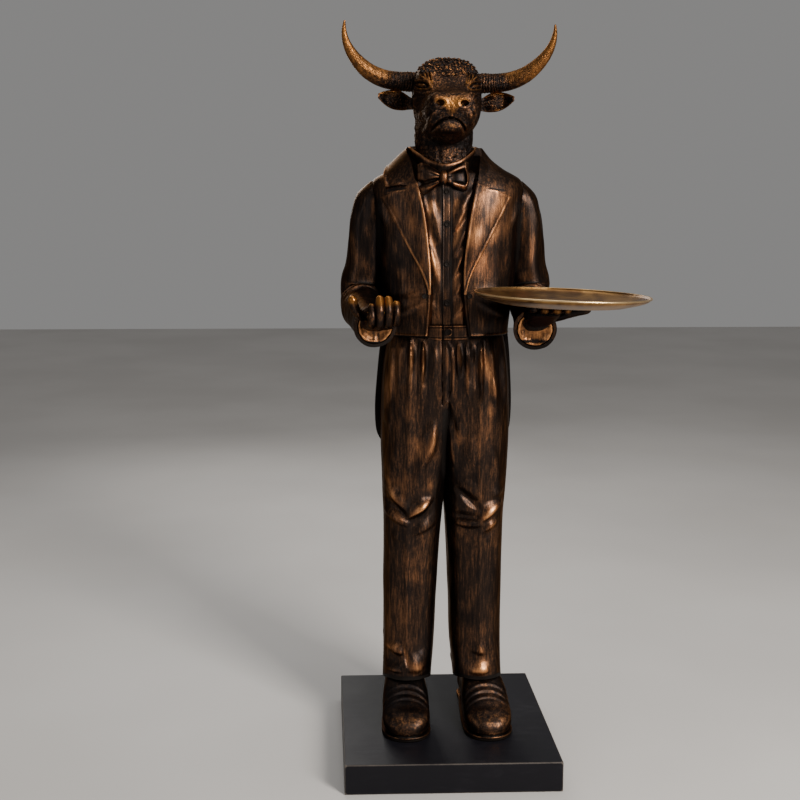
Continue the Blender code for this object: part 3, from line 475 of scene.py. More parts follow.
@dataclass(frozen=True)
class WearAndPaintedLight:
    """Tells a casting's raised places, which hands and brushes rub bright, from its sunken ones, which take dark
    patina and painted shade.

    The bend at a corner is the mean over its edges of how far the normal turns along the edge, divided
    by the edge's length: above zero on ridges, below zero in grooves, in 1/m. It is read at a fine
    scale, for rims and creases, and at a broad one, for folds.
    """

    fine_rounds: int = 2
    broad_rounds: int = 24
    sharpest: float = 900.0
    blunt: float = 130.0
    fine_share: float = 0.24
    broad_share: float = 0.65
    fine_ridge: Point2 = (30.0, 260.0)
    broad_ridge: Point2 = (14.0, 70.0)
    fine_groove: Point2 = (-12.0, -230.0)
    broad_groove: Point2 = (-6.0, -60.0)

    def mark(
        self,
        obj: bpy.types.Object,
        painted_shade: Array | float = 0.0,
        gilt: Array | float = 0.0,
        rubbed_and_highlit: Array | float = 0.0,
    ) -> None:
        """Writes each corner's polished share with painted highlights, its patina with painted shade, and its
        gilding with painted highlights.

        Args:
            obj: The fused casting.
            painted_shade: Painted shade at each corner, where another piece covers it and where shade falls.
            gilt: How golden each corner is, with painted highlights in some places.
            rubbed_and_highlit: Further worn-bright copper and painted highlights at each corner.
        """
        mesh = obj.data
        points, edges = corners_and_edges(mesh)
        normals = corner_normals(mesh, points)
        a, b = edges.T
        step = points[b] - points[a]
        turn = np.sum((normals[b] - normals[a]) * step, axis=1) / np.maximum(np.sum(step**2, axis=1), 1e-8)
        turn = np.clip(turn, -self.sharpest, self.sharpest)
        count = np.maximum(np.bincount(edges.ravel(), minlength=len(points)), 1)
        bend = (np.bincount(a, turn, len(points)) + np.bincount(b, turn, len(points))) / count
        fine = spread(bend, edges, self.fine_rounds)
        broad = spread(np.clip(bend, -self.blunt, self.blunt), edges, self.broad_rounds)
        polish = self.fine_share * fade(fine, *self.fine_ridge)
        polish = polish + self.broad_share * fade(broad, *self.broad_ridge) + rubbed_and_highlit
        # Grooves get dark patina and painted shade. With the painted shade that is laid on by place, they also
        # dim the polished share.
        recess = 0.8 * fade(-fine, *(-v for v in self.fine_groove))
        recess = recess + 0.6 * fade(-broad, *(-v for v in self.broad_groove))
        set_mark(mesh, Mark.POLISH, polish * (1 - np.clip(recess + painted_shade, 0, 1)))
        set_mark(mesh, Mark.RECESS, recess + painted_shade)
        set_mark(mesh, Mark.GILT, gilt + np.zeros(len(points)))


# Finishes


class Graph:
    """A material's nodes, with short ways to add and link them."""

    def __init__(self, name: str) -> None:
        """Starts a material of that name with its Principled shader and its coordinates."""
        self.material = bpy.data.materials.new(name)
        self.material.use_nodes = True
        self.tree = self.material.node_tree
        self.shader = self.tree.nodes["Principled BSDF"]
        self.place = self.add("ShaderNodeTexCoord").outputs["Object"]

    def add(self, kind: str, inputs: dict | None = None, **settings: object) -> bpy.types.Node:
        """Adds a node.

        Args:
            kind: The node's type.
            inputs: Its sockets by name or number, each with a value or another node's output.
            **settings: Further settings of the node.

        Returns:
            The node.
        """
        node = self.tree.nodes.new(kind)
        for key, value in settings.items():
            setattr(node, key, value)
        for key, value in (inputs or {}).items():
            self.feed(node.inputs[key], value)
        return node

    def feed(self, socket: bpy.types.NodeSocket, value: object) -> None:
        """Links an output to the socket, or sets the socket's own value."""
        if isinstance(value, bpy.types.NodeSocket):
            self.tree.links.new(value, socket)
        else:
            socket.default_value = value

    def noise(
        self, per_metre: Point3, detail: float, roughness: float, warp: float = 0.0
    ) -> bpy.types.NodeSocket:
        """Noise with its own number of features per metre along x, y and z."""
        placed = self.add("ShaderNodeMapping", {"Vector": self.place, "Scale": per_metre})
        sockets = {"Vector": placed.outputs[0], "Scale": 1.0, "Detail": detail, "Roughness": roughness}
        sockets["Distortion"] = warp
        return self.add("ShaderNodeTexNoise", sockets).outputs["Fac"]

    def sum(self, *terms: tuple[object, float]) -> bpy.types.NodeSocket:
        """Adds up values, each times its own weight."""
        total: object = 0.0
        for value, weight in terms:
            node = self.add("ShaderNodeMath", {0: value, 1: weight, 2: total}, operation="MULTIPLY_ADD")
            total = node.outputs[0]
        return total

    def times(self, a: object, b: object) -> bpy.types.NodeSocket:
        """One value times another."""
        return self.add("ShaderNodeMath", {0: a, 1: b}, operation="MULTIPLY").outputs[0]

    def vector(self, operation: str, *values: object) -> bpy.types.Node:
        """An operation on one or two vectors."""
        return self.add("ShaderNodeVectorMath", dict(enumerate(values)), operation=operation)

    def step(
        self, value: object, low: float, high: float, start: float = 0.0, end: float = 1.0
    ) -> bpy.types.NodeSocket:
        """A smooth step of the value from start, at low, to end, at high."""
        sockets = {"Value": value, "From Min": low, "From Max": high, "To Min": start, "To Max": end}
        return self.add("ShaderNodeMapRange", sockets, interpolation_type="SMOOTHSTEP").outputs[0]

    def mix(self, share: object, a: object, b: object) -> bpy.types.NodeSocket:
        """A colour between two others."""
        colours = [(*c, 1.0) if isinstance(c, tuple) else c for c in (a, b)]
        node = self.add("ShaderNodeMix", {0: share, 6: colours[0], 7: colours[1]}, data_type="RGBA")
        return node.outputs[2]

    def mark(self, mark: Mark) -> bpy.types.NodeSocket:
        """One of the numbers stored on the corners of a casting."""
        return self.add("ShaderNodeAttribute", attribute_name=mark.value).outputs["Fac"]

    def bumps(self, height: object, distance: float) -> None:
        """Raises the shading by a height from 0 to 1 times the distance in metres."""
        node = self.add("ShaderNodeBump", {"Height": height, "Distance": distance, "Strength": 1.0})
        self.feed(self.shader.inputs["Normal"], node.outputs[0])


@dataclass(frozen=True)
class AgedBronze:
    """Cast bronze under a near-black patina, dry-brushed with copper, and golden where it is rubbed, with painted
    highlights and painted shade where its marks lay them.
    """

    name: str
    patina: Colour = (0.0125, 0.0105, 0.0108)
    brown: Colour = (0.04, 0.0245, 0.0175)
    copper: Colour = (0.23, 0.102, 0.048)
    bright: Colour = (0.57, 0.265, 0.11)
    gold: Colour = (0.43, 0.175, 0.04)
    # The near-black of grimy hollows, also used for painted shade in sunken and covered places.
    grime_and_shade_colour: Colour = (0.0045, 0.0036, 0.0034)
    strokes: Point3 = (210.0, 210.0, 17.0)
    brushed: float = 0.5
    flecks: float = 0.22
    grain: float = 0.00045
    grains: float = 260.0
    rough: float = 0.31
    edge_tint: Colour = (0.52, 0.44, 0.38)

    def make(self) -> bpy.types.Material:
        """The material, made of its nodes.

        Brush marks are noise drawn out along z. They show where they and a slow noise are both high, and more on
        raised places and under painted highlights. Grime, dark patina and painted shade fill what is sunken, and
        gilding lies under both.
        """
        graph = Graph(self.name)
        strokes = graph.noise(self.strokes, 5.0, 0.62, 0.3)
        hairs = graph.noise(tuple(3.0 * v for v in self.strokes), 3.0, 0.6)
        patches = graph.noise((9.0, 9.0, 4.5), 4.0, 0.6, 0.5)
        pits = graph.noise((self.grains,) * 3, 4.0, 0.7)
        polish, recess, gilt = (graph.mark(mark) for mark in (Mark.POLISH, Mark.RECESS, Mark.GILT))

        # Copper shows on raised places and under painted highlights. Painted shade and patina in hollows hold it
        # back.
        marks = graph.sum(
            (strokes, 0.62), (hairs, 0.32), (patches, 0.76),
            (polish, 0.5), (pits, self.flecks), (recess, -0.4),
        )
        low = 1.2 + 0.5 * self.flecks - 0.4 * self.brushed
        brown = graph.step(marks, low - 0.34, low + 0.02)
        copper = graph.step(marks, low - 0.14, low + 0.24)
        bright = graph.step(marks, low + 0.08, low + 0.42)
        colour = graph.mix(brown, self.patina, self.brown)
        colour = graph.mix(copper, colour, self.copper)
        colour = graph.mix(bright, colour, self.bright)
        gilding_and_highlight = graph.sum((gilt, 1.25), (strokes, 0.55), (patches, 0.35), (pits, 0.3), (recess, -0.5))
        gold = graph.step(gilding_and_highlight, 0.78, 1.5)
        colour = graph.mix(gold, colour, self.gold)
        # Near-black where painted shade and patina lie, and in grimy pits and streaks.
        grime_and_shade = graph.step(graph.sum((recess, 1.0), (pits, 0.35), (strokes, 0.2)), 0.42, 1.05)
        colour = graph.mix(grime_and_shade, colour, self.grime_and_shade_colour)
        graph.feed(graph.shader.inputs["Base Color"], colour)

        gloss = graph.sum((copper, -0.03), (gold, -0.12), (grime_and_shade, 0.26), (pits, 0.16), (self.rough, 1.0))
        graph.feed(graph.shader.inputs["Roughness"], gloss)
        graph.feed(graph.shader.inputs["Metallic"], graph.step(grime_and_shade, 0.0, 1.0, 0.96, 0.45))
        graph.feed(graph.shader.inputs["Specular Tint"], (*self.edge_tint, 1.0))
        relief = graph.sum((strokes, 0.3), (hairs, 0.25), (pits, 0.45), (-0.5, 1.0))
        graph.bumps(graph.times(relief, graph.step(gold, 0.0, 1.0, 1.0, 0.35)), self.grain)
        return graph.material


@dataclass(frozen=True)
class AntiqueBrass:
    """Turned brass gone brown in its dish, and bright on its rim."""

    name: str
    centre: Point3
    rim_radius: float
    dark: Colour = (0.105, 0.047, 0.014)
    warm: Colour = (0.33, 0.18, 0.06)
    bright: Colour = (0.72, 0.5, 0.25)

    def make(self) -> bpy.types.Material:
        """The material: rings of fine noise by the distance from the centre, clouds, and a bright rim."""
        graph = Graph(self.name)
        from_centre = graph.vector("SUBTRACT", graph.place, self.centre).outputs[0]
        radius = graph.vector("LENGTH", from_centre).outputs["Value"]
        sockets = {"W": radius, "Scale": 900.0, "Detail": 3.0}
        turn = graph.add("ShaderNodeTexNoise", sockets, noise_dimensions="1D")
        clouds = graph.noise((16.0, 16.0, 16.0), 5.0, 0.6, 0.5)
        specks = graph.noise((340.0, 340.0, 340.0), 3.0, 0.7)
        polish = graph.mark(Mark.POLISH)
        tone = graph.sum((clouds, 0.75), (turn.outputs["Fac"], 0.2), (specks, 0.2))
        colour = graph.mix(graph.step(tone, 0.42, 0.74), self.dark, self.warm)
        rubbed_and_highlit = graph.sum((polish, 0.95), (clouds, 0.35), (specks, 0.15))
        rim = graph.step(radius, self.rim_radius - 0.006, self.rim_radius - 0.001)
        worn = graph.step(graph.sum((rubbed_and_highlit, 0.8), (rim, 0.45)), 0.5, 1.15)
        colour = graph.mix(worn, colour, self.bright)
        graph.feed(graph.shader.inputs["Base Color"], colour)
        gloss = graph.sum((clouds, 0.16), (specks, 0.12), (worn, -0.08), (0.24, 1.0))
        graph.feed(graph.shader.inputs["Roughness"], gloss)
        graph.shader.inputs["Metallic"].default_value = 1.0
        graph.bumps(graph.sum((turn.outputs["Fac"], 0.5), (specks, 0.5)), 0.00012)
        return graph.material


@dataclass(frozen=True)
class BlackPaint:
    """Satin black paint on a square base, scuffed on its faces and worn thin along its edges."""

    name: str
    half_size: Point3
    centre: Point3
    paint: Colour = (0.0058, 0.0054, 0.0078)
    scuff: Colour = (0.017, 0.016, 0.02)
    worn: Colour = (0.09, 0.076, 0.066)

    def make(self) -> bpy.types.Material:
        """The material: an edge is where two of |x|, |y| and |z| from the centre near their half sizes."""
        graph = Graph(self.name)
        offset = graph.vector("SUBTRACT", graph.place, self.centre).outputs[0]
        size = graph.vector("ABSOLUTE", offset).outputs[0]
        short = graph.vector("SUBTRACT", self.half_size, size).outputs[0]
        parts = graph.add("ShaderNodeSeparateXYZ", {0: short}).outputs
        near = [graph.step(part, 0.0, 0.0065, 1.0, 0.0) for part in parts]
        edge = graph.sum((graph.times(near[0], near[1]), 1.0), (graph.times(near[1], near[2]), 1.0))
        edge = graph.sum((graph.times(near[0], near[2]), 1.0), (edge, 1.0))
        clouds = graph.noise((9.0, 9.0, 9.0), 5.0, 0.6, 0.4)
        specks = graph.noise((420.0, 420.0, 420.0), 4.0, 0.75)
        streaks = graph.noise((14.0, 90.0, 60.0), 4.0, 0.65, 0.8)
        scuffed = graph.step(graph.sum((clouds, 0.5), (streaks, 0.45), (specks, 0.25)), 0.6, 0.86)
        colour = graph.mix(scuffed, self.paint, self.scuff)
        chipped = graph.step(graph.sum((edge, 0.75), (clouds, 0.4), (specks, 0.35)), 0.78, 1.18)
        colour = graph.mix(chipped, colour, self.worn)
        graph.feed(graph.shader.inputs["Base Color"], colour)
        graph.feed(graph.shader.inputs["Roughness"], graph.sum((clouds, 0.22), (specks, 0.14), (0.26, 1.0)))
        graph.shader.inputs["Specular IOR Level"].default_value = 0.16
        graph.bumps(graph.sum((specks, 0.6), (clouds, 0.4)), 0.0003)
        return graph.material


def paint(obj: bpy.types.Object, finish: AgedBronze | AntiqueBrass | BlackPaint) -> None:
    """Gives the piece its finish in place of any that it has."""
    obj.data.materials.clear()
    obj.data.materials.append(finish.make())


def dress(obj: bpy.types.Object, finish: AgedBronze | AntiqueBrass, node: str) -> None:
    """Finishes a piece and shows it in place of a solid of the frame, on the frame's one body.

    Args:
        obj: The piece.
        finish: What its surface is like.
        node: The solid that it stands for.
    """
    paint(obj, finish)
    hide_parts(node)
    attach(obj, "root")


def lifted(points: Array) -> Array:
    """Points drawn from the soles, moved up on to the plinth."""
    return np.asarray(points, float) + (0, 0, BASE)


def lifted_tube(rings: Array) -> Shell:
    """A shell over rings that are drawn from the soles."""
    return tube(lifted(rings))


def lifted_slab(top: Array, depth: float, side: Side = Side.LEFT) -> Shell:
    """A slab under a patch that is drawn from the soles, turned round where it lies on the right."""
    return slab(lifted(top if side is Side.LEFT else top[:, ::-1]), depth)


# The clothes of the upper body


@dataclass
class Trunk:
    """The body under the clothes and the lie of the coat on it, which several pieces share.

    Sections are height, half width, and reach to the front and to the back of the body's axis.
    """

    axis_y: float = 0.02
    power: float = 2.5
    body: Rows = (
        (0.88, 0.118, 0.088, 0.095),
        (0.95, 0.118, 0.094, 0.09),
        (1.05, 0.128, 0.1, 0.088),
        (1.15, 0.145, 0.104, 0.09),
        (1.22, 0.153, 0.101, 0.092),
        (1.27, 0.14, 0.088, 0.088),
        (1.3, 0.112, 0.074, 0.076),
        (1.33, 0.085, 0.058, 0.058),
    )
    coat: Rows = (
        (0.918, 0.142, 0.106, 0.112),
        (0.95, 0.145, 0.107, 0.106),
        (1.05, 0.156, 0.112, 0.1),
        (1.15, 0.166, 0.116, 0.103),
        (1.22, 0.172, 0.114, 0.105),
        (1.25, 0.174, 0.106, 0.103),
        (1.27, 0.164, 0.096, 0.098),
        (1.29, 0.13, 0.083, 0.088),
        (1.31, 0.103, 0.07, 0.075),
        (1.338, 0.08, 0.054, 0.06),
    )
    middle: Rows = ((0.9, -0.0045), (1.05, -0.009), (1.2, -0.0095), (1.34, -0.011))

    def front(self, x: Array, z: Array, sections: Rows, lift: Array | float = 0.0) -> Array:
        """The y of the front of the body or the coat: its superellipse solved for y, raised by lift."""
        half_width, front, _ = np.moveaxis(through(sections, z), -1, 0)
        share = np.clip(np.abs(x) / (half_width + lift), 0, 0.999)
        return self.axis_y - (front + lift) * (1 - share**self.power) ** (1 / self.power)

    def middle_x(self, z: Array | float) -> Array:
        """The x of the middle of the shirt front at height z."""
        return through(self.middle, z)[..., 0]


@dataclass
class DressShirt:
    """The shirt front with its button strip, collar and waistband, and the bow tie."""

    trunk: Trunk
    button_heights: tuple[float, ...] = (1.24, 1.169, 1.081, 0.994)
    waist_button: float = 0.929
    bow: Point3 = (-0.018, -0.082, 1.2705)
    bow_reach: float = 0.06
    bow_lobe: Rows = (
        (0.0, 0.008, 0.006),
        (0.16, 0.012, 0.009),
        (0.45, 0.023, 0.012),
        (0.7, 0.031, 0.012),
        (0.88, 0.034, 0.01),
        (1.0, 0.031, 0.005),
    )
    # Folds from the middle of the shirt front: start and end as distance from the middle and height
    folds: tuple[Fold, ...] = (
        ((0.016, 0.965), (0.05, 1.01), 0.006, 0.0045),
        ((0.014, 1.005), (0.046, 1.062), 0.0065, 0.005),
        ((0.014, 1.052), (0.044, 1.122), 0.006, 0.005),
        ((0.016, 1.098), (0.05, 1.18), 0.007, 0.0055),
        ((0.014, 1.15), (0.046, 1.218), 0.006, 0.005),
        ((0.018, 1.19), (0.06, 1.246), 0.006, 0.0045),
        ((-0.016, 0.96), (-0.046, 1.005), 0.006, 0.004),
        ((-0.015, 1.02), (-0.034, 1.11), 0.0065, 0.0045),
        ((-0.028, 1.06), (-0.048, 1.16), 0.006, 0.004),
        ((-0.015, 1.13), (-0.034, 1.215), 0.0065, 0.0045),
        ((-0.036, 1.17), (-0.06, 1.236), 0.006, 0.0045),
    )

    # Painted highlights with worn-bright copper along the shirt's folds: start, end, width and strength
    rubbing_and_highlights: tuple[Fold, ...] = (
        ((-0.044, 1.226), (-0.048, 1.184), 0.006, 0.5),
        ((-0.069, 1.128), (-0.03, 1.125), 0.007, 0.4),
        ((-0.043, 1.108), (-0.034, 1.075), 0.008, 0.5),
        ((0.015, 1.234), (0.003, 1.184), 0.006, 0.5),
        ((0.02, 1.159), (0.003, 1.112), 0.006, 0.6),
        ((0.016, 1.075), (0.004, 1.015), 0.006, 0.4),
        ((-0.047, 1.075), (-0.046, 0.99), 0.005, 0.5),
        ((-0.03, 1.091), (-0.026, 1.041), 0.006, 0.5),
        ((0.032, 1.209), (0.012, 1.142), 0.006, 0.5),
    )

    def front(self) -> Shell:
        """The shirt front: the body's surface by x and z, raised along each fold and sunk between."""
        z = np.linspace(0.912, 1.306, 190)[:, None]
        over = np.linspace(-0.092, 0.092, 96)[None] * (1 - 0.15 * fade(z, 1.275, 1.3))
        x, z = np.broadcast_arrays(self.trunk.middle_x(z) + over, z)
        from_middle = x - self.trunk.middle_x(z)
        lift = -0.022 * fade(z, 1.278, 1.296)
        for start, end, width, height in self.folds:
            lift = lift + height * fold(from_middle, z, start, end, 1.3 * width)
        soft = unevenness(xyz(x, 0, z), (0.01, 1.0, 0.03), 3)
        y = self.trunk.front(x, z, self.trunk.body) - lift - 0.0012 * soft
        return lifted_slab(xyz(x, y, z), 0.024)

    def strip(self) -> Shell:
        """The button strip: a band on the body with a bead of stitching along each edge."""
        z = np.linspace(0.935, 1.262, 150)[:, None]
        over = np.linspace(-0.0098, 0.0098, 17)[None]
        x, z = np.broadcast_arrays(self.trunk.middle_x(z) + over, z)
        out = np.abs(over)
        lift = 0.0026 + 0.0004 * bump(out, 0.0085, 0.0011) - 0.0004 * bump(out, 0.006, 0.0009)
        y = self.trunk.front(x, z, self.trunk.body, lift + 0 * x)
        return lifted_slab(xyz(x, y, z), 0.01)

    def button(self, x: float, y: float, z: float, radius: float, height: float) -> Shell:
        """A button: a turned profile with a rounded rim and a dished middle, facing the front."""
        share = np.array((1.0, 1.0, 0.97, 0.9, 0.8, 0.66, 0.45, 0.2, 0.02))
        out = np.array((-1.4, 0.55, 0.85, 1.0, 0.98, 0.72, 0.52, 0.5, 0.62))
        size = share * radius
        rows = np.column_stack([np.full(9, x), y - out * height, np.full(9, z), size, size])
        return lifted_tube(across_path(rows, 28, directions=np.tile((0, -1, 0), (9, 1))))

    def waistband(self) -> Shell:
        """The trousers' waistband between the coat's edges, with a groove along each border."""
        z = np.linspace(0.902, 0.943, 40)[:, None]
        over = np.linspace(-0.064, 0.064, 90)[None]
        x, z = np.broadcast_arrays(self.trunk.middle_x(z) + over, z)
        lift = 0.0085 * fade(z, 0.9, 0.915)
        lift = lift - 0.0016 * bump(z, 0.939, 0.0012) - 0.0016 * bump(z, 0.916, 0.0013)
        lift = lift - 0.003 * stroke(x, z, (-0.0165, 0.9), (-0.0165, 0.95), 0.0013)
        return lifted_slab(xyz(x, self.trunk.front(x, z, self.trunk.body, lift), z), 0.014)

    def collar(self) -> Shell:
        """The shirt's collar: a band round the neck, lower at the front, with a rolled top."""
        angle = once_round(150)[None]
        front = np.clip(-np.sin(angle), 0, 1)
        stations = (
            (0.0, -0.034, 0.0),
            (0.3, -0.016, 0.0035),
            (0.6, 0.002, 0.0062),
            (0.8, 0.0115, 0.0068),
            (0.9, 0.0142, 0.0052),
            (1.0, 0.013, 0.002),
        )
        lift, grow = columns_of(stations, np.linspace(0, 1, 22))
        lift, grow = np.vstack([lift, [[0.01]]]), np.vstack([grow, [[-0.01]]])
        reach = rounded(angle, 0.071 + grow, 0.07 + grow, 0.066 + grow, 2.0)
        x = self.trunk.middle_x(1.3) + reach * np.cos(angle)
        y = 0.018 + reach * np.sin(angle)
        return lifted_tube(xyz(x, y, 1.328 + lift - 0.04 * front**2))

    def bow_side(self, side: Side) -> Shell:
        """One lobe of the bow tie, a flat tube that opens away from the knot.

        Its folds are waves of the height that fan out from the knot. On the figure's left side the
        lobe's end is a loop, hollowed behind a bright rim. On its right side the end is left ragged.
        """
        x, y, z = self.bow
        angle = once_round(120)[None]
        reach = np.linspace(0, 1, 64)[:, None]
        half_height, thick = columns_of(self.bow_lobe, reach[:, 0])
        height = np.sin(angle)
        facing = np.clip(np.cos(angle), 0, 1)
        opened = fade(reach, 0.05, 0.4)
        if side is Side.LEFT:
            folds = 0.0034 * (bump(height, 0.72, 0.26) + 1.3 * bump(height, -0.68, 0.28)) * opened
            inside = fade(reach, 0.24, 0.66) * fade(1 - reach, 0.05, 0.16)
            inside = inside * fade(0.62 - np.abs(height), 0, 0.36)
            folds = folds - 0.0105 * inside * facing + 0.0026 * bump(reach, 0.92, 0.06)
            slit = fade(reach, 0.02, 0.12) * fade(0.5 - reach, 0, 0.3)
            folds = folds - 0.0022 * bump(height, 0.0, 0.12) * slit
            end = 1.0 + 0.04 * np.cos(4.2 * height + 0.6)
            drop = 0.0
        else:
            crease = -0.1 - 0.16 * reach
            folds = 0.0034 * (bump(height, 0.52, 0.34) + 1.2 * bump(height, -0.66, 0.24)) * opened
            folds = folds - 0.0062 * bump(height, crease, 0.11) * fade(reach, 0.05, 0.3)
            pleat = bump(height, 0.22 + 0.25 * reach, 0.09) * opened
            folds = folds - 0.0026 * pleat * fade(0.72 - reach, 0, 0.3)
            folds = folds - 0.002 * bump(height, -0.62 + 0.2 * reach, 0.06) * opened
            end = 1.0 - 0.15 * bump(height, -0.28, 0.14) - 0.05 * bump(height, 0.46, 0.1)
            drop = 0.0065 * reach * np.clip(-height, 0, 1)
        across = x + side.value * (self.bow_reach * reach * (1 + (end - 1) * reach) - 0.004)
        up = z + half_height * height + side.value * 0.002 * reach - drop
        out = y + 0.01 * reach - thick * np.cos(angle) - folds * facing
        return lifted_tube(xyz(across, out, up))

    def bow_knot(self) -> Shell:
        """The knot: a short upright barrel, pinched at both ends, with soft upright folds."""
        x, y, z = self.bow
        half = ((0.0, 0.01, 0.0088, 0.01), (0.008, 0.008, 0.0078, 0.0085), (0.0125, 0.004, 0.005, 0.004))
        stations = (*half, *((-rise, *sizes) for rise, *sizes in half[1:]))
        rise = np.linspace(-0.0125, 0.0125, 26)
        ahead, wide, deep = np.moveaxis(through(stations, rise), -1, 0)
        rows = np.column_stack([np.full(26, x), y - ahead, z + rise, wide, deep])
        rings = across_path(rows, 48, upright=(0, -1, 0))
        soft = 0.0004 * np.cos(6 * np.linspace(0, 2 * math.pi, 48))
        return lifted_tube(rings + outward(rings) * soft[:, None])

    def build(self) -> bpy.types.Object:
        """The shirt front and all that lies on it, as one casting."""
        trunk = self.trunk
        shells = [self.front(), self.strip(), self.waistband(), self.collar(), self.bow_knot()]
        shells += [self.bow_side(side) for side in Side]
        for height in self.button_heights:
            x = float(trunk.middle_x(height))
            y = float(trunk.front(x, height, trunk.body, 0.0036))
            shells.append(self.button(x, y, height, 0.0052, 0.002))
        y = float(trunk.front(0.0, self.waist_button, trunk.body, 0.009))
        shells.append(self.button(-0.004, y, self.waist_button, 0.0088, 0.0026))
        shirt = fuse("dress_shirt", shells)
        x, y, z = from_soles(shirt)
        edge = through(Tailcoat.coat_edge, z)[:, 0]
        # Painted shade along and under the coat's edges, under the bow, beside the button strip, across the top
        # of the front and round each button.
        under_coat = bump(np.abs(x - trunk.middle_x(z)), edge + 0.004, 0.007)
        under_bow = 0.3 * bump(z, 1.232, 0.01) * (np.abs(x - self.bow[0]) < 0.05)
        outside = fade(np.abs(x - trunk.middle_x(z)) - edge, 0.0, 0.006) * (z < 1.285)
        grooves = {"broad_groove": (-14.0, -110.0), "fine_groove": (-25.0, -320.0)}
        wear_and_light = WearAndPaintedLight(fine_share=0.16, broad_share=0.6, **grooves)
        beside = 0.6 * bump(np.abs(x - trunk.middle_x(z)), 0.0104, 0.0022) * (z < 1.262)
        painted_shade = 0.7 * under_coat + outside + under_bow * (y > -0.09) + beside
        painted_shade = painted_shade + 0.22 * fade(z, 1.236, 1.244) * fade(-y, 0.02, 0.06)
        for height in (*self.button_heights, self.waist_button):
            away = np.hypot(x - trunk.middle_x(height), z - height)
            painted_shade = painted_shade + 0.55 * fade(0.0092 - away, 0.0, 0.002)
        # The rows add painted highlights, with worn-bright copper, on the front.
        wear_and_light.mark(shirt, painted_shade=painted_shade, rubbed_and_highlit=rubbing_and_highlights_along(x, z, self.rubbing_and_highlights) * (y < 0))
        dress(shirt, AgedBronze("bronze_shirt", brushed=0.62), "figure")
        return shirt


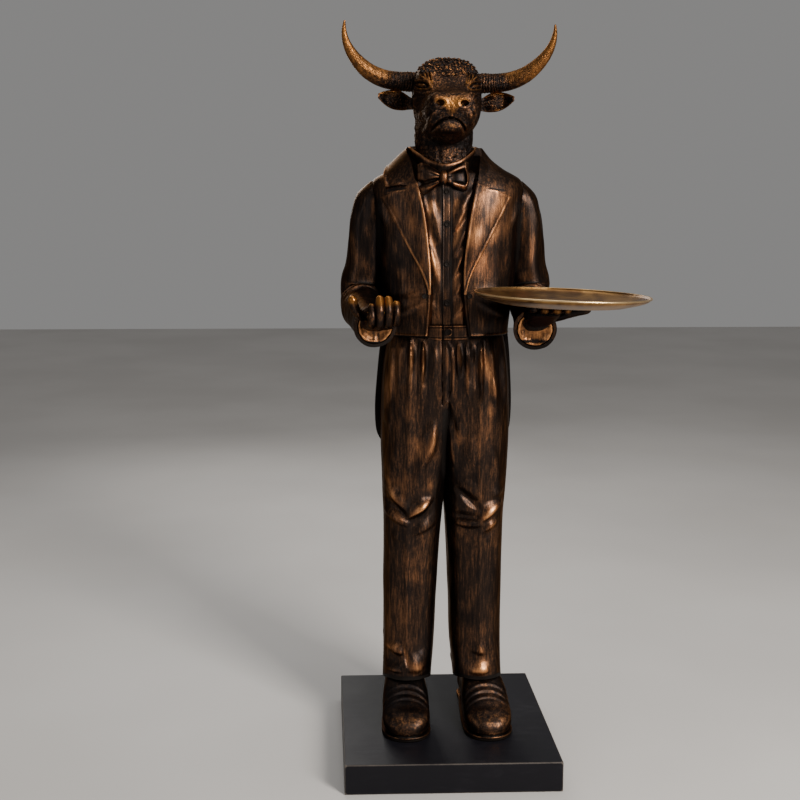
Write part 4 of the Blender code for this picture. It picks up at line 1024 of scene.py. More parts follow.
@dataclass
class Tailcoat:
    """The tailcoat: its body, lapels, collar, sleeves with their cuffs, and its two tails."""

    trunk: Trunk
    thickness: float = 0.012
    edge_slant: float = math.radians(3)
    button_at: Point2 = (0.05, 1.01)
    lapel_foot: float = 1.014
    lapel_lift: float = 0.0045
    collar_lift: float = 0.0035
    collar_depth: float = 0.026
    coat_edge: Rows = (
        (0.918, 0.0465),
        (0.97, 0.041),
        (1.02, 0.037),
        (1.045, 0.0375),
        (1.12, 0.0435),
        (1.188, 0.0525),
        (1.237, 0.0625),
        (1.33, 0.083),
    )
    lapel_edge: Rows = (
        (1.02, 0.043),
        (1.056, 0.055),
        (1.121, 0.088),
        (1.174, 0.116),
        (1.228, 0.145),
    )
    collar_inner: Rows = (
        (0.068, -0.082, 1.246),
        (0.075, -0.055, 1.294),
        (0.083, 0.01, 1.334),
        (0.06, 0.068, 1.342),
        (0.0, 0.088, 1.344),
    )
    collar_outer: Rows = (
        (0.134, -0.06, 1.246),
        (0.136, -0.014, 1.278),
        (0.116, 0.058, 1.298),
        (0.07, 0.11, 1.29),
        (0.0, 0.124, 1.286),
    )
    tail: Rows = ((0.603, 0.158, 0.136), (0.75, 0.162, 0.141), (0.85, 0.154, 0.131), (0.94, 0.143, 0.111))
    # Soft pulls in the cloth of the coat's front, as strokes in the front view by |x| and z
    pulls: tuple[Fold, ...] = (
        ((0.06, 1.0), (0.12, 0.965), 0.01, 0.0035),
        ((0.058, 1.022), (0.128, 1.01), 0.009, 0.003),
        ((0.075, 0.93), (0.105, 1.0), 0.012, 0.003),
        ((0.118, 0.925), (0.132, 1.04), 0.01, 0.0035),
        ((0.15, 1.08), (0.158, 1.19), 0.01, -0.004),
        ((0.164, 1.232), (0.142, 1.165), 0.008, 0.005),
        ((0.152, 1.232), (0.134, 1.175), 0.007, -0.003),
        ((0.142, 1.15), (0.136, 1.06), 0.01, 0.003),
        ((0.1, 0.925), (0.106, 1.06), 0.012, 0.0025),
    )
    # Painted highlights with worn-bright copper on the lapels, chest, front and sleeves: start, end, width and
    # strength
    rubbing_and_highlights: tuple[Fold, ...] = (
        ((0.073, 1.246), (0.049, 1.184), 0.012, 0.55),
        ((0.066, 1.171), (0.045, 1.113), 0.012, 0.7),
        ((0.05, 1.184), (0.034, 1.113), 0.009, 0.6),
        ((0.103, 1.226), (0.087, 1.163), 0.008, 0.5),
        ((0.116, 1.234), (0.108, 1.184), 0.006, 0.5),
        ((-0.132, 1.213), (-0.119, 1.171), 0.01, 0.4),
        ((-0.103, 1.192), (-0.069, 1.142), 0.012, 0.35),
        ((-0.115, 1.159), (-0.09, 1.109), 0.01, 0.35),
        ((-0.073, 1.092), (-0.064, 1.05), 0.01, 0.35),
        ((-0.14, 1.142), (-0.107, 1.092), 0.008, 0.3),
        ((0.109, 1.171), (0.088, 1.121), 0.009, 0.6),
        ((0.134, 1.2), (0.118, 1.133), 0.01, 0.6),
        ((0.076, 1.108), (0.059, 1.057), 0.009, 0.5),
        ((-0.085, 1.041), (-0.089, 0.973), 0.012, 0.3),
        ((-0.063, 1.007), (-0.063, 0.947), 0.008, 0.3),
        ((-0.119, 1.075), (-0.106, 1.041), 0.01, 0.35),
        ((0.069, 0.972), (0.069, 0.93), 0.01, 0.35),
        ((-0.171, 1.221), (-0.16, 1.166), 0.007, 0.6),
        ((-0.218, 1.149), (-0.206, 1.071), 0.008, 0.45),
        ((-0.188, 1.17), (-0.18, 1.132), 0.006, 0.4),
        ((-0.193, 1.089), (-0.173, 1.037), 0.01, 0.5),
        ((-0.158, 1.127), (-0.145, 1.071), 0.006, 0.4),
        ((0.165, 1.215), (0.158, 1.16), 0.007, 0.5),
        ((0.196, 1.15), (0.19, 1.075), 0.008, 0.4),
        ((0.188, 1.06), (0.178, 1.035), 0.01, 0.4),
    )
    upper_arm: Rows = (
        (0.14, 0.028, 1.262, 0.034, 0.04),
        (0.157, 0.03, 1.236, 0.045, 0.054),
        (0.172, 0.033, 1.19, 0.047, 0.056),
        (0.179, 0.035, 1.13, 0.046, 0.053),
        (0.184, 0.037, 1.07, 0.047, 0.051),
        (0.192, 0.038, 1.04, 0.048, 0.049),
    )
    # Gathers of the sleeve round its elbow: place along it from the bend, height and lean
    inner_gathers: Rows = ((-0.03, 0.0035, 0.01), (-0.012, -0.005, 0.006), (0.004, 0.0055, -0.002))
    lower_gathers: Rows = ((0.022, -0.0045, -0.01), (0.038, 0.004, -0.014), (0.06, -0.002, 0.008))
    outer_gathers: Rows = ((-0.05, 0.0025, 0.018), (-0.015, 0.0028, -0.02), (0.02, 0.0026, 0.018))
    bend: Point3 = (0.192, -0.019, 1.036)
    bend_radius: float = 0.057
    bend_size: float = 0.048
    cuffs: tuple[Point3, Point3] = ((-0.1715, -0.18, 0.953), (0.173, -0.172, 0.9445))
    cuff_radius: float = 0.0462
    cuff_wall: float = 0.0068
    cuff_recess: float = 0.018
    shirt_cuff_radius: float = 0.0376

    def coat_body(self) -> Shell:
        """The coat's body: superellipse sections, sunk between the two front edges.

        Folds and seams are added to the distance from the axis: pulls at the front, soft upright
        waves at the sides and the back, and a seam down the middle of the back.
        """
        trunk = self.trunk
        z = np.concatenate([np.linspace(0.918, 0.9235, 5), np.linspace(0.926, 1.338, 146)])
        half_width, front, back = columns_of(trunk.coat, z)
        edge = through(self.coat_edge, z)[:, 0]
        fine = np.linspace(-math.pi / 2, 0, 400)
        reach = rounded(fine, half_width, front, back, trunk.power)
        middle = trunk.middle_x(z)
        flat_x = reach * np.cos(fine)
        right = np.array([np.interp(e + m, f, fine) for e, m, f in zip(edge, middle, flat_x)])[:, None]
        left = np.array([np.interp(e - m, f, fine) for e, m, f in zip(edge, middle, flat_x)])[:, None]
        left = -math.pi - left
        share = np.linspace(0, 1, 236)[None]
        angle = right + share * (left + 2 * math.pi - right)
        reach = rounded(angle, half_width, front, back, trunk.power)
        x = reach * np.cos(angle)
        height = z[:, None] + 0 * x
        lift = np.zeros(x.shape)
        facing = fade(-np.sin(angle), 0.1, 0.5)
        for start, end, width, rise in self.pulls:
            lift += rise * fold(np.abs(x), height, start, end, width) * facing
        behind = fade(np.sin(angle), 0.0, 0.4)
        low = fade(1.16 - height, 0.0, 0.14)
        lift += 0.0022 * np.cos(9 * angle + 1.3 * np.sin(11 * height)) * behind * low
        lift -= 0.002 * bump(x, 0.0, 0.0018) * behind
        from_edge = np.minimum(share, 1 - share) * (left + 2 * math.pi - right) * 0.11
        lift += 0.0016 * bump(from_edge, 0.0022, 0.0018) - 0.0007 * bump(from_edge, 0.0075, 0.0012)
        lift += 0.0013 * bump(height, 0.921, 0.0022) - 0.0016 * bump(height, 0.918, 0.0016)
        lift += 0.001 * unevenness(xyz(x, 0, height), (0.012, 1, 0.05), 11)
        reach = reach + lift
        inner = left + self.edge_slant + np.linspace(0, 1, 26)[None] * (right - left - 2 * self.edge_slant)
        sunk = rounded(inner, half_width, front, back, trunk.power) - 2 * self.thickness
        angle, reach = np.hstack([angle, inner]), np.hstack([reach, sunk])
        x, y = reach * np.cos(angle), reach * np.sin(angle) + trunk.axis_y
        return lifted_tube(xyz(x, y, z[:, None]))

    def lapel(self, side: Side) -> Shell:
        """A lapel: a patch of the coat's front from its edge outwards, domed, with a beaded border."""
        up = np.linspace(0, 1, 110)[:, None]
        over = np.linspace(0, 1, 44)[None]
        z_inner = self.lapel_foot + up * (1.262 - self.lapel_foot)
        z_outer = self.lapel_foot + up * (1.228 - self.lapel_foot)
        x_inner = through(self.coat_edge, z_inner[:, 0]) - 0.002 * np.clip(4 * up, 0.3, 1)
        x_outer = through(self.lapel_edge, z_outer[:, 0])
        z = z_inner + over * (z_outer - z_inner)
        x = self.trunk.middle_x(z) + side.value * (x_inner + over * (x_outer - x_inner))
        width = x_outer - x_inner
        lift = 0.0025 * np.sin(math.pi * over) * np.clip(3 * up, 0, 1)
        to_edge = (1 - over) * width
        bead = 0.0004 * bump(to_edge, 0.0022, 0.002) - 0.0004 * bump(to_edge, 0.0068, 0.0014)
        bead += 0.0005 * bump(over * width, 0.002, 0.0018)
        bead += 0.0007 * bump((1 - up) * 0.22, 0.0022, 0.0018)
        roll = -0.0012 * bump(to_edge, 0.0, 0.0012)
        lift = lift + (bead + roll) * np.clip(8 * up, 0, 1)
        lift += 0.0016 * unevenness(xyz(x, 0, z), (0.022, 1, 0.06), 21)
        y = self.trunk.front(x, z, self.trunk.coat, self.lapel_lift + lift)
        top = xyz(x, y, z)
        return lifted_slab(top, self.lapel_lift + 0.006, side)

    def collar(self, side: Side) -> Shell:
        """Half of the coat's collar: a ruled patch between two curves, domed, with a beaded border."""
        inner, outer = along(self.collar_inner, 96)[:, None], along(self.collar_outer, 96)[:, None]
        over = np.linspace(0, 1, 34)[None, :, None]
        top = inner + over * (outer - inner)
        share = over[..., 0]
        to_edge = (1 - share) * 0.045
        bead = 0.0013 * bump(to_edge, 0.0016, 0.0014) - 0.0006 * bump(to_edge, 0.006, 0.001)
        start = np.linspace(0, 1, 96)[:, None] * 0.16
        bead = bead + 0.0012 * bump(start, 0.0016, 0.0014) * fade(share, 0.35, 0.6)
        lift = self.collar_lift + 0.005 * np.sin(math.pi * share) + bead
        top[..., 2] += lift
        top[..., 1] -= self.collar_lift * np.clip(-top[..., 1] / 0.05, 0, 1) + bead * (top[..., 1] < 0)
        top[-1, :, 0] = -0.002
        top[..., 0] = self.trunk.middle_x(1.3) + side.value * top[..., 0]
        return lifted_slab(top, self.collar_depth, side)

    def sleeve_path(self, side: Side) -> tuple[Array, Array, Array, Array]:
        """The sleeve's rows from the shoulder to the cuff.

        Returns:
            The rows of x, y, z and two half sizes, their directions, the cuff's middle and its aim.
        """
        rows = [(np.array(row[:3]), (0.07, 0.02, -1), *row[3:]) for row in self.upper_arm]
        for turn in np.radians((25, 50, 72, 90)):
            way = np.array([0.04, math.cos(turn), -math.sin(turn)])
            place = self.bend + self.bend_radius * way
            rows.append((place, (-0.05, -math.sin(turn), -math.cos(turn)), self.bend_size, self.bend_size))
        cuff = np.array(self.cuffs[side is Side.LEFT]) * (side.value, 1, 1)
        elbow = rows[-1][0]
        aim = unit(cuff - elbow)
        for share, radius in ((0.33, 0.046), (0.7, 0.0445), (1.0, self.cuff_radius)):
            rows.append((elbow + share * (cuff - elbow), aim, radius, radius))
        table = np.array([(*middle, across, deep) for middle, _, across, deep in rows])
        return table, unit(np.array([row[1] for row in rows], float)), cuff, aim

    def sleeve(self, side: Side) -> list[Shell]:
        """A sleeve with its hollow cuff and the shirt's cuff inside it.

        The sleeve is a tube across its path. Folds are added along its outward directions: rings
        that gather at the inside of the elbow, long soft waves on the upper arm, and the cuff's hem.
        """
        table, ways, cuff, aim = self.sleeve_path(side)
        travel = np.concatenate([[0], np.cumsum(np.linalg.norm(np.diff(table[:, :3], axis=0), axis=1))])
        place = np.linspace(0, travel[-1], 150)
        rows = through(np.column_stack([travel, table, ways]), place)
        around = 84
        rings = across_path(rows[:, :5], around, upright=(0, -0.707, 0.707), directions=rows[:, 5:])
        angle = once_round(around)[None]
        s = place[:, None]
        elbow_at = travel[7]
        inner = np.clip(np.sin(angle), 0, 1)
        lift = gathers(s - elbow_at, angle, self.inner_gathers, 0.0075) * inner
        lift = lift + gathers(s - elbow_at, angle, self.lower_gathers, 0.008) * (0.35 + 0.65 * inner)
        outer = np.clip(-np.sin(angle), 0, 1)
        lift = lift + gathers(s - elbow_at, angle, self.outer_gathers, 0.01) * outer
        upper = fade(s, 0.03, 0.08) * fade(elbow_at - s, 0.01, 0.07)
        lift += 0.002 * np.cos(5 * angle + 14 * s + side.value) * upper
        lift += 0.0022 * stroke(s + 0 * angle, angle + 0 * s, (0.07, 2.0), (0.16, 2.9), 0.05)
        ending = travel[-1] - s
        lift += 0.0009 * bump(ending, 0.0016, 0.0016) - 0.0007 * bump(ending, 0.0085, 0.0012)
        lift += 0.0012 * unevenness(lifted(rings), (0.012, 0.012, 0.04), 31)
        rings = rings + outward(rings) * lift[..., None]
        wall = self.cuff_radius - self.cuff_wall
        depth = (0.0004, 0.002, 0.006, 0.011, 0.015, self.cuff_recess)
        inside = [(*(cuff - aim * d), wall - 0.17 * d, wall - 0.17 * d) for d in depth]
        hollow = across_path(inside, around, upright=(0, -0.707, 0.707), directions=np.tile(aim, (6, 1)))
        grain = unevenness(hollow, (0.005, 0.005, 0.005), 37)
        towards = unit(np.array(inside)[:, None, :3] - hollow)
        hollow = hollow + towards * (0.0016 * grain * fade(np.array(depth), 0.001, 0.004)[:, None])[..., None]
        mirror = np.array([side.value, 1, 1])
        shells = [lifted_tube(np.concatenate([rings, hollow]) * mirror)]
        profile = ((-0.035, 0.0), (-0.006, 0.0), (-0.003, 0.0002), (0.0, 0.0012), (0.0008, 0.003))
        profile += ((0.0002, 0.005), (-0.0015, 0.0075), (-0.0035, 0.011), (-0.005, 0.016))
        cuff_rows = [
            (*(cuff + aim * reach), self.shirt_cuff_radius - thin, self.shirt_cuff_radius - thin)
            for reach, thin in profile
        ]
        ring = across_path(cuff_rows, 72, directions=np.tile(aim, (len(profile), 1)))
        grain = unevenness(ring, (0.006, 0.006, 0.006), 41)
        ring = ring + outward(ring) * (0.0022 * grain)[..., None]
        shells.append(lifted_tube(ring * mirror))
        return shells

    def tail_half(self, side: Side) -> Shell:
        """One of the two tails: a sheet on a superellipse behind the leg, with hanging folds."""
        low, high = self.tail[0][0], self.tail[-1][0]
        z = np.concatenate([np.linspace(low, low + 0.014, 8), np.linspace(low + 0.017, high, 78)])
        half_width, back = columns_of(self.tail, z)
        drop = ((high - z) / (high - low))[:, None]
        start = math.radians(4) + math.radians(15) * drop + math.radians(20) * fade(drop, 0.66, 1.0) ** 2
        share = np.linspace(0, 1, 64)[None]
        share = share - 0.07 * np.sin(2 * math.pi * share)
        angle = start + share * (math.radians(88) - start)
        reach = rounded(angle, half_width, back, back, 2.6) + 0.004 * np.cos(7 * angle) * drop
        border = np.minimum(share * 0.19, (1 - share) * 0.19)
        reach = reach + 0.0009 * bump(border, 0.002, 0.0018) - 0.0007 * bump(border, 0.008, 0.0013)
        reach = reach + 0.0014 * bump(drop * 0.34, 0.338, 0.003)
        reach = reach + 0.0014 * np.cos(17 * angle + 2 * drop) * fade(drop, 0.1, 0.6)
        x, y = side.value * reach * np.cos(angle), self.trunk.axis_y + reach * np.sin(angle)
        top = xyz(x, y, z[:, None])
        return lifted_slab(top, 0.026, side)

    def front_button(self, side: Side, shirt: DressShirt) -> Shell:
        """One of the two buttons beside the coat's front edges."""
        out, z = self.button_at
        x = float(self.trunk.middle_x(z)) + side.value * out
        y = float(self.trunk.front(x, z, self.trunk.coat, 0.0012))
        return shirt.button(x, y, z, 0.006, 0.002)

    def build(self) -> bpy.types.Object:
        """The whole coat as one casting."""
        shells = [self.coat_body()]
        helper = DressShirt(self.trunk)
        for side in Side:
            shells += [self.lapel(side), self.collar(side), self.tail_half(side)]
            shells += [self.front_button(side, helper), *self.sleeve(side)]
        coat = fuse("tailcoat", shells)
        x, y, z = from_soles(coat)
        # Painted shade by the armpits, in the slit under the collar's notch, under the hem, round the front
        # buttons and in the sleeves' open cuffs.
        armpit = 0.5 * bump(np.abs(x), 0.158, 0.008) * fade(1.235 - z, 0, 0.03) * fade(z, 1.03, 1.1)
        painted_shade = armpit * (y < 0.02)
        out = np.abs(x - self.trunk.middle_x(z))
        notch = fade(out, 0.086, 0.096) * fade(0.134 - out, 0.0, 0.008) * (y < -0.02)
        notch_z = 1.247 - 0.12 * (out - 0.09)
        painted_shade = painted_shade + 0.9 * bump(z, notch_z, 0.0018) * notch
        painted_shade = painted_shade + 0.6 * fade(0.9215 - z, 0.0, 0.002) * (z > 0.915)
        for side in Side:
            across, height = self.button_at
            away = np.hypot(x - self.trunk.middle_x(height) - side.value * across, z - height)
            painted_shade = painted_shade + 0.6 * fade(0.0072 - away, 0.0, 0.002) * (y < 0)
        # Painted shade on the tails below the hem, on their parts towards the front.
        tails = 0.5 * fade(0.915 - z, 0.0, 0.01) * fade(0.11 - y, 0.0, 0.04)
        inside = np.zeros(len(x))
        for cuff in self.cuffs:
            away = np.linalg.norm(xyz(x, y, z) - cuff, axis=-1)
            inside += fade(0.0385 - away, 0.0, 0.002)
            painted_shade = painted_shade + 0.35 * fade(0.05 - away, 0.0, 0.002) * fade(away, 0.0385, 0.0395)
        # A painted highlight along the figure's right front edge and under the notch's slit, laid on as gilding
        # and as worn-bright copper.
        from_edge = self.trunk.middle_x(z) - x - through(self.coat_edge, z)[:, 0]
        lit_edge = bump(from_edge, 0.0012, 0.0016) * (y < -0.03) * fade(1.255 - z, 0.0, 0.02)
        lit_edge = lit_edge + 0.8 * bump(z, notch_z - 0.0034, 0.0012) * notch
        # The rows add painted highlights, with worn-bright copper, on the front.
        rubbed_and_highlit = 0.8 * rubbing_and_highlights_along(x, z, self.rubbing_and_highlights) * (y < 0.03) + 0.55 * inside + 0.5 * lit_edge
        wear_and_light = WearAndPaintedLight(fine_share=0.08)
        wear_and_light.mark(coat, painted_shade=painted_shade + tails, gilt=0.3 * inside + 0.3 * lit_edge, rubbed_and_highlit=rubbed_and_highlit)
        dress(coat, AgedBronze("bronze_coat"), "figure")
        return coat


# The legs


@dataclass
class Trousers:
    """Both trouser legs, with creases, pleats, and the folds at the knees and over the shoes.

    Sections are height, middle, half width, front, back and the power of the inner side, which grows
    towards the hips so that the two legs close to one front.
    """

    power: float = 2.35
    hem_slope: float = 0.0165
    left_shift: float = 0.004
    sections: Rows = (
        (0.091, 0.086, 0.057, -0.044, 0.092, 2.35),
        (0.13, 0.084, 0.058, -0.04, 0.096, 2.35),
        (0.176, 0.0815, 0.06, -0.032, 0.1, 2.35),
        (0.3, 0.079, 0.063, -0.034, 0.105, 2.35),
        (0.42, 0.076, 0.0655, -0.042, 0.1, 2.35),
        (0.486, 0.074, 0.0685, -0.049, 0.098, 2.35),
        (0.545, 0.0725, 0.0725, -0.053, 0.105, 2.5),
        (0.6, 0.0705, 0.0755, -0.058, 0.115, 3.0),
        (0.665, 0.07, 0.0785, -0.066, 0.13, 3.8),
        (0.75, 0.069, 0.0795, -0.074, 0.142, 6.5),
        (0.83, 0.0655, 0.079, -0.08, 0.142, 10.0),
        (0.9, 0.0605, 0.074, -0.08, 0.128, 12.0),
        (0.915, 0.059, 0.072, -0.076, 0.12, 12.0),
        (0.935, 0.058, 0.066, -0.06, 0.106, 12.0),
    )
    # Folds in the front view: start, end, width and height, dips below zero
    right_folds: tuple[Fold, ...] = (
        ((-0.135, 0.567), (-0.094, 0.515), 0.0095, 0.008),
        ((-0.14, 0.536), (-0.088, 0.492), 0.008, -0.009),
        ((-0.139, 0.506), (-0.092, 0.48), 0.009, 0.0065),
        ((-0.086, 0.5), (-0.039, 0.538), 0.01, 0.011),
        ((-0.08, 0.476), (-0.034, 0.508), 0.008, -0.0045),
        ((-0.076, 0.458), (-0.03, 0.482), 0.0085, 0.0035),
        ((-0.125, 0.455), (-0.1, 0.44), 0.009, 0.003),
        ((-0.129, 0.178), (-0.098, 0.168), 0.0095, 0.006),
        ((-0.138, 0.146), (-0.1, 0.146), 0.009, -0.0075),
        ((-0.134, 0.124), (-0.104, 0.121), 0.008, 0.0035),
        ((-0.097, 0.178), (-0.085, 0.132), 0.005, -0.006),
        ((-0.086, 0.16), (-0.058, 0.118), 0.02, 0.005),
        ((-0.06, 0.17), (-0.036, 0.15), 0.01, 0.0018),
        ((-0.035, 0.7), (-0.062, 0.62), 0.014, 0.0045),
        ((-0.087, 0.912), (-0.086, 0.842), 0.0042, 0.006),
        ((-0.086, 0.842), (-0.09, 0.78), 0.0055, 0.0034),
        ((-0.06, 0.906), (-0.061, 0.815), 0.004, 0.0066),
        ((-0.061, 0.815), (-0.062, 0.78), 0.006, 0.0026),
        ((-0.073, 0.904), (-0.074, 0.8), 0.0055, -0.0034),
        ((-0.097, 0.9), (-0.099, 0.82), 0.005, -0.0024),
        ((-0.1265, 0.9), (-0.129, 0.776), 0.005, 0.0052),
        ((-0.129, 0.776), (-0.134, 0.7), 0.007, 0.003),
        ((-0.138, 0.891), (-0.142, 0.719), 0.0055, 0.004),
        ((-0.1115, 0.895), (-0.1137, 0.8), 0.005, 0.0034),
        ((-0.047, 0.9), (-0.048, 0.83), 0.006, -0.002),
        ((-0.034, 0.89), (-0.036, 0.82), 0.007, 0.0026),
        ((-0.0356, 0.72), (-0.0441, 0.64), 0.013, 0.005),
        ((-0.05, 0.66), (-0.074, 0.56), 0.014, 0.004),
        ((-0.062, 0.69), (-0.078, 0.6), 0.011, -0.0026),
        ((-0.12, 0.66), (-0.132, 0.58), 0.012, 0.0036),
    )
    left_folds: tuple[Fold, ...] = (
        ((0.022, 0.562), (0.073, 0.517), 0.009, -0.01),
        ((0.006, 0.532), (0.062, 0.503), 0.013, 0.0018),
        ((0.03, 0.585), (0.074, 0.542), 0.014, 0.005),
        ((0.076, 0.49), (0.122, 0.531), 0.0105, 0.0105),
        ((0.014, 0.497), (0.078, 0.495), 0.008, -0.01),
        ((0.085, 0.464), (0.116, 0.492), 0.009, 0.0075),
        ((0.088, 0.446), (0.122, 0.47), 0.007, -0.003),
        ((0.022, 0.481), (0.08, 0.48), 0.0095, 0.0055),
        ((0.1, 0.545), (0.13, 0.56), 0.009, 0.004),
        ((0.062, 0.176), (0.104, 0.168), 0.011, 0.0024),
        ((0.044, 0.15), (0.086, 0.156), 0.012, -0.0036),
        ((0.079, 0.142), (0.089, 0.108), 0.02, 0.0048),
        ((0.0175, 0.902), (0.021, 0.826), 0.0046, 0.0064),
        ((0.028, 0.898), (0.031, 0.83), 0.0046, -0.003),
        ((0.0365, 0.902), (0.0415, 0.826), 0.0042, 0.005),
        ((0.0415, 0.826), (0.043, 0.78), 0.005, 0.0024),
        ((0.048, 0.898), (0.05, 0.86), 0.0042, 0.003),
        ((0.059, 0.9), (0.06, 0.8), 0.005, -0.0036),
        ((0.07, 0.906), (0.0705, 0.77), 0.0042, 0.0056),
        ((0.086, 0.908), (0.0974, 0.8316), 0.006, 0.007),
        ((0.0974, 0.8316), (0.1049, 0.76), 0.007, 0.0056),
        ((0.112, 0.89), (0.118, 0.8), 0.006, -0.003),
        ((0.124, 0.885), (0.134, 0.76), 0.006, 0.004),
        ((-0.008, 0.765), (0.016, 0.7), 0.011, -0.007),
        ((0.012, 0.715), (0.033, 0.65), 0.012, -0.005),
        ((0.018, 0.725), (0.03, 0.665), 0.009, 0.0036),
        ((0.006, 0.7), (0.016, 0.62), 0.008, 0.004),
        ((0.048, 0.69), (0.056, 0.62), 0.012, 0.003),
        ((0.1, 0.66), (0.116, 0.57), 0.012, 0.0036),
    )
    fold_share: float = 1.45
    # Lines that hands have worn bright, with painted highlights on them: start, end, width and strength
    rubbing_and_highlights: tuple[Fold, ...] = (
        ((-0.085, 0.905), (-0.09, 0.815), 0.0036, 0.8),
        ((-0.0593, 0.903), (-0.0609, 0.795), 0.0034, 0.9),
        ((-0.1275, 0.87), (-0.1315, 0.765), 0.005, 0.5),
        ((-0.138, 0.83), (-0.1421, 0.75), 0.006, 0.4),
        ((-0.1127, 0.905), (-0.1104, 0.87), 0.005, 0.4),
        ((-0.008, 0.898), (-0.0054, 0.83), 0.003, 0.5),
        ((0.0092, 0.895), (0.0079, 0.78), 0.003, 0.6),
        ((0.0185, 0.9), (0.0223, 0.85), 0.005, 0.8),
        ((0.0373, 0.86), (0.0399, 0.8), 0.006, 0.6),
        ((0.0691, 0.896), (0.0698, 0.815), 0.0045, 0.8),
        ((0.077, 0.89), (0.101, 0.78), 0.009, 1.0),
        ((0.0703, 0.8), (0.0717, 0.66), 0.003, 0.25),
        ((0.0717, 0.68), (0.071, 0.535), 0.003, 0.25),
        ((0.0921, 0.77), (0.0967, 0.73), 0.008, 0.6),
        ((-0.0971, 0.77), (-0.0927, 0.72), 0.008, 0.3),
        ((-0.078, 0.69), (-0.056, 0.63), 0.014, 0.45),
        ((-0.0312, 0.712), (-0.0394, 0.64), 0.008, 0.5),
        ((0.0187, 0.705), (0.0233, 0.665), 0.007, 0.45),
        ((0.003, 0.66), (0.014, 0.62), 0.007, 0.35),
        ((-0.0434, 0.605), (-0.0365, 0.545), 0.007, 0.4),
        ((-0.09, 0.498), (-0.037, 0.541), 0.008, 0.8),
        ((-0.138, 0.588), (-0.12, 0.535), 0.005, 0.6),
        ((-0.13, 0.513), (-0.0907, 0.48), 0.006, 0.5),
        ((0.079, 0.49), (0.118, 0.527), 0.008, 0.9),
        ((0.102, 0.463), (0.114, 0.488), 0.006, 0.5),
        ((-0.14, 0.173), (-0.104, 0.187), 0.005, 0.6),
        ((-0.0958, 0.18), (-0.084, 0.131), 0.004, 0.7),
        ((-0.08, 0.12), (-0.05, 0.142), 0.013, 0.75),
        ((0.0797, 0.182), (0.089, 0.164), 0.006, 0.5),
        ((0.062, 0.127), (0.101, 0.127), 0.012, 0.85),
        ((0.084, 0.112), (0.0895, 0.092), 0.008, 0.5),
    )
    fly: Fold = ((-0.016, 0.94), (-0.013, 0.764), 0.0022, -0.005)
    fly_flap: tuple[Point2, ...] = (
        (-0.0081, 0.91),
        (0.0036, 0.8904),
        (0.0076, 0.852),
        (0.008, 0.7975),
        (-0.0007, 0.7726),
        (-0.012, 0.7658),
    )
    creases: tuple[tuple[Point2, Point2], tuple[Point2, Point2]] = (
        ((-0.092, 0.19), (-0.09, 0.8)),
        ((0.082, 0.17), (0.071, 0.79)),
    )
    # Gathers behind the knee and over the heel: height, rise and lean
    back_gathers: Rows = (
        (0.545, -0.004, 0.012),
        (0.522, 0.0045, -0.01),
        (0.498, -0.0045, 0.012),
        (0.18, 0.004, 0.01),
        (0.158, -0.0045, -0.008),
        (0.136, 0.004, 0.01),
    )
    crease_width: float = 0.006
    crease_height: float = 0.0017

    def leg(self, side: Side) -> Shell:
        """One leg: superellipse sections with its creases, pleats and folds raised on the front."""
        z = np.concatenate([np.linspace(0.091, 0.097, 4), np.linspace(0.1, 0.935, 256)])
        middle, half_width, front, back, inner = columns_of(self.sections, z)
        axis_y = (front + back) / 2
        angle = self.steps(132, 46)
        power = np.where(np.cos(angle) < 0, inner, self.power)
        reach = rounded(angle, half_width, axis_y - front, back - axis_y, power)
        if side is Side.LEFT:
            middle = middle - self.left_shift * np.clip((0.6 - z[:, None]) / 0.1, 0, 1)
        x, y = middle + reach * np.cos(angle), axis_y + reach * np.sin(angle)
        z = np.broadcast_to(z[:, None], x.shape)
        facing = np.clip(-np.sin(angle), 0, 1) ** 0.7
        real_x = side.value * x
        crease = self.creases[side is Side.LEFT]
        raised = self.crease_height * stroke(real_x, z, *crease, self.crease_width)
        raised = raised + 0.002 * stroke(real_x, z, *crease, 0.018)
        for start, end, width, height in self.left_folds if side is Side.LEFT else self.right_folds:
            share = self.fold_share * (0.6 if height < 0 else 1.0)
            raised = raised + share * height * fold(real_x, z, start, end, width)
        raised = raised + self.fly[3] * stroke(real_x, z, self.fly[0], self.fly[1], self.fly[2])
        raised = raised + 0.0026 * trail(real_x, z, self.fly_flap, 0.003)
        raised = raised - 0.0014 * trail(real_x + 0.0055, z, self.fly_flap, 0.003)
        raised = raised * facing
        raised = raised + self.back_and_sides(angle, z)
        cloth = unevenness(xyz(real_x, y, z), (0.014, 0.02, 0.07), 51 + side.value)
        raised = raised + 0.002 * cloth
        x, y = x + raised * np.cos(angle), y + raised * np.sin(angle)
        slope = self.hem_slope * np.clip((0.135 - z) / 0.05, 0, 1) * np.clip(-(y - 0.03) / 0.06, -1, 1)
        return lifted_tube(xyz(side.value * x, y, z + slope))

    def steps(self, front_count: int, back_count: int) -> Array:
        """Angles round a leg at even distances along a middling section, closer together on its front."""
        fine = np.linspace(-math.pi, math.pi, 2001)
        reach = rounded(fine, 0.076, 0.105, 0.105, 5.0)
        outline = np.column_stack([reach * np.cos(fine), reach * np.sin(fine)])
        travel = np.concatenate([[0], np.cumsum(np.linalg.norm(np.diff(outline, axis=0), axis=1))])
        half = travel[1000]
        front = np.linspace(0, half, front_count, endpoint=False)
        back = np.linspace(half, travel[-1], back_count, endpoint=False)
        return np.interp(np.concatenate([front, back]), travel, fine)[None]

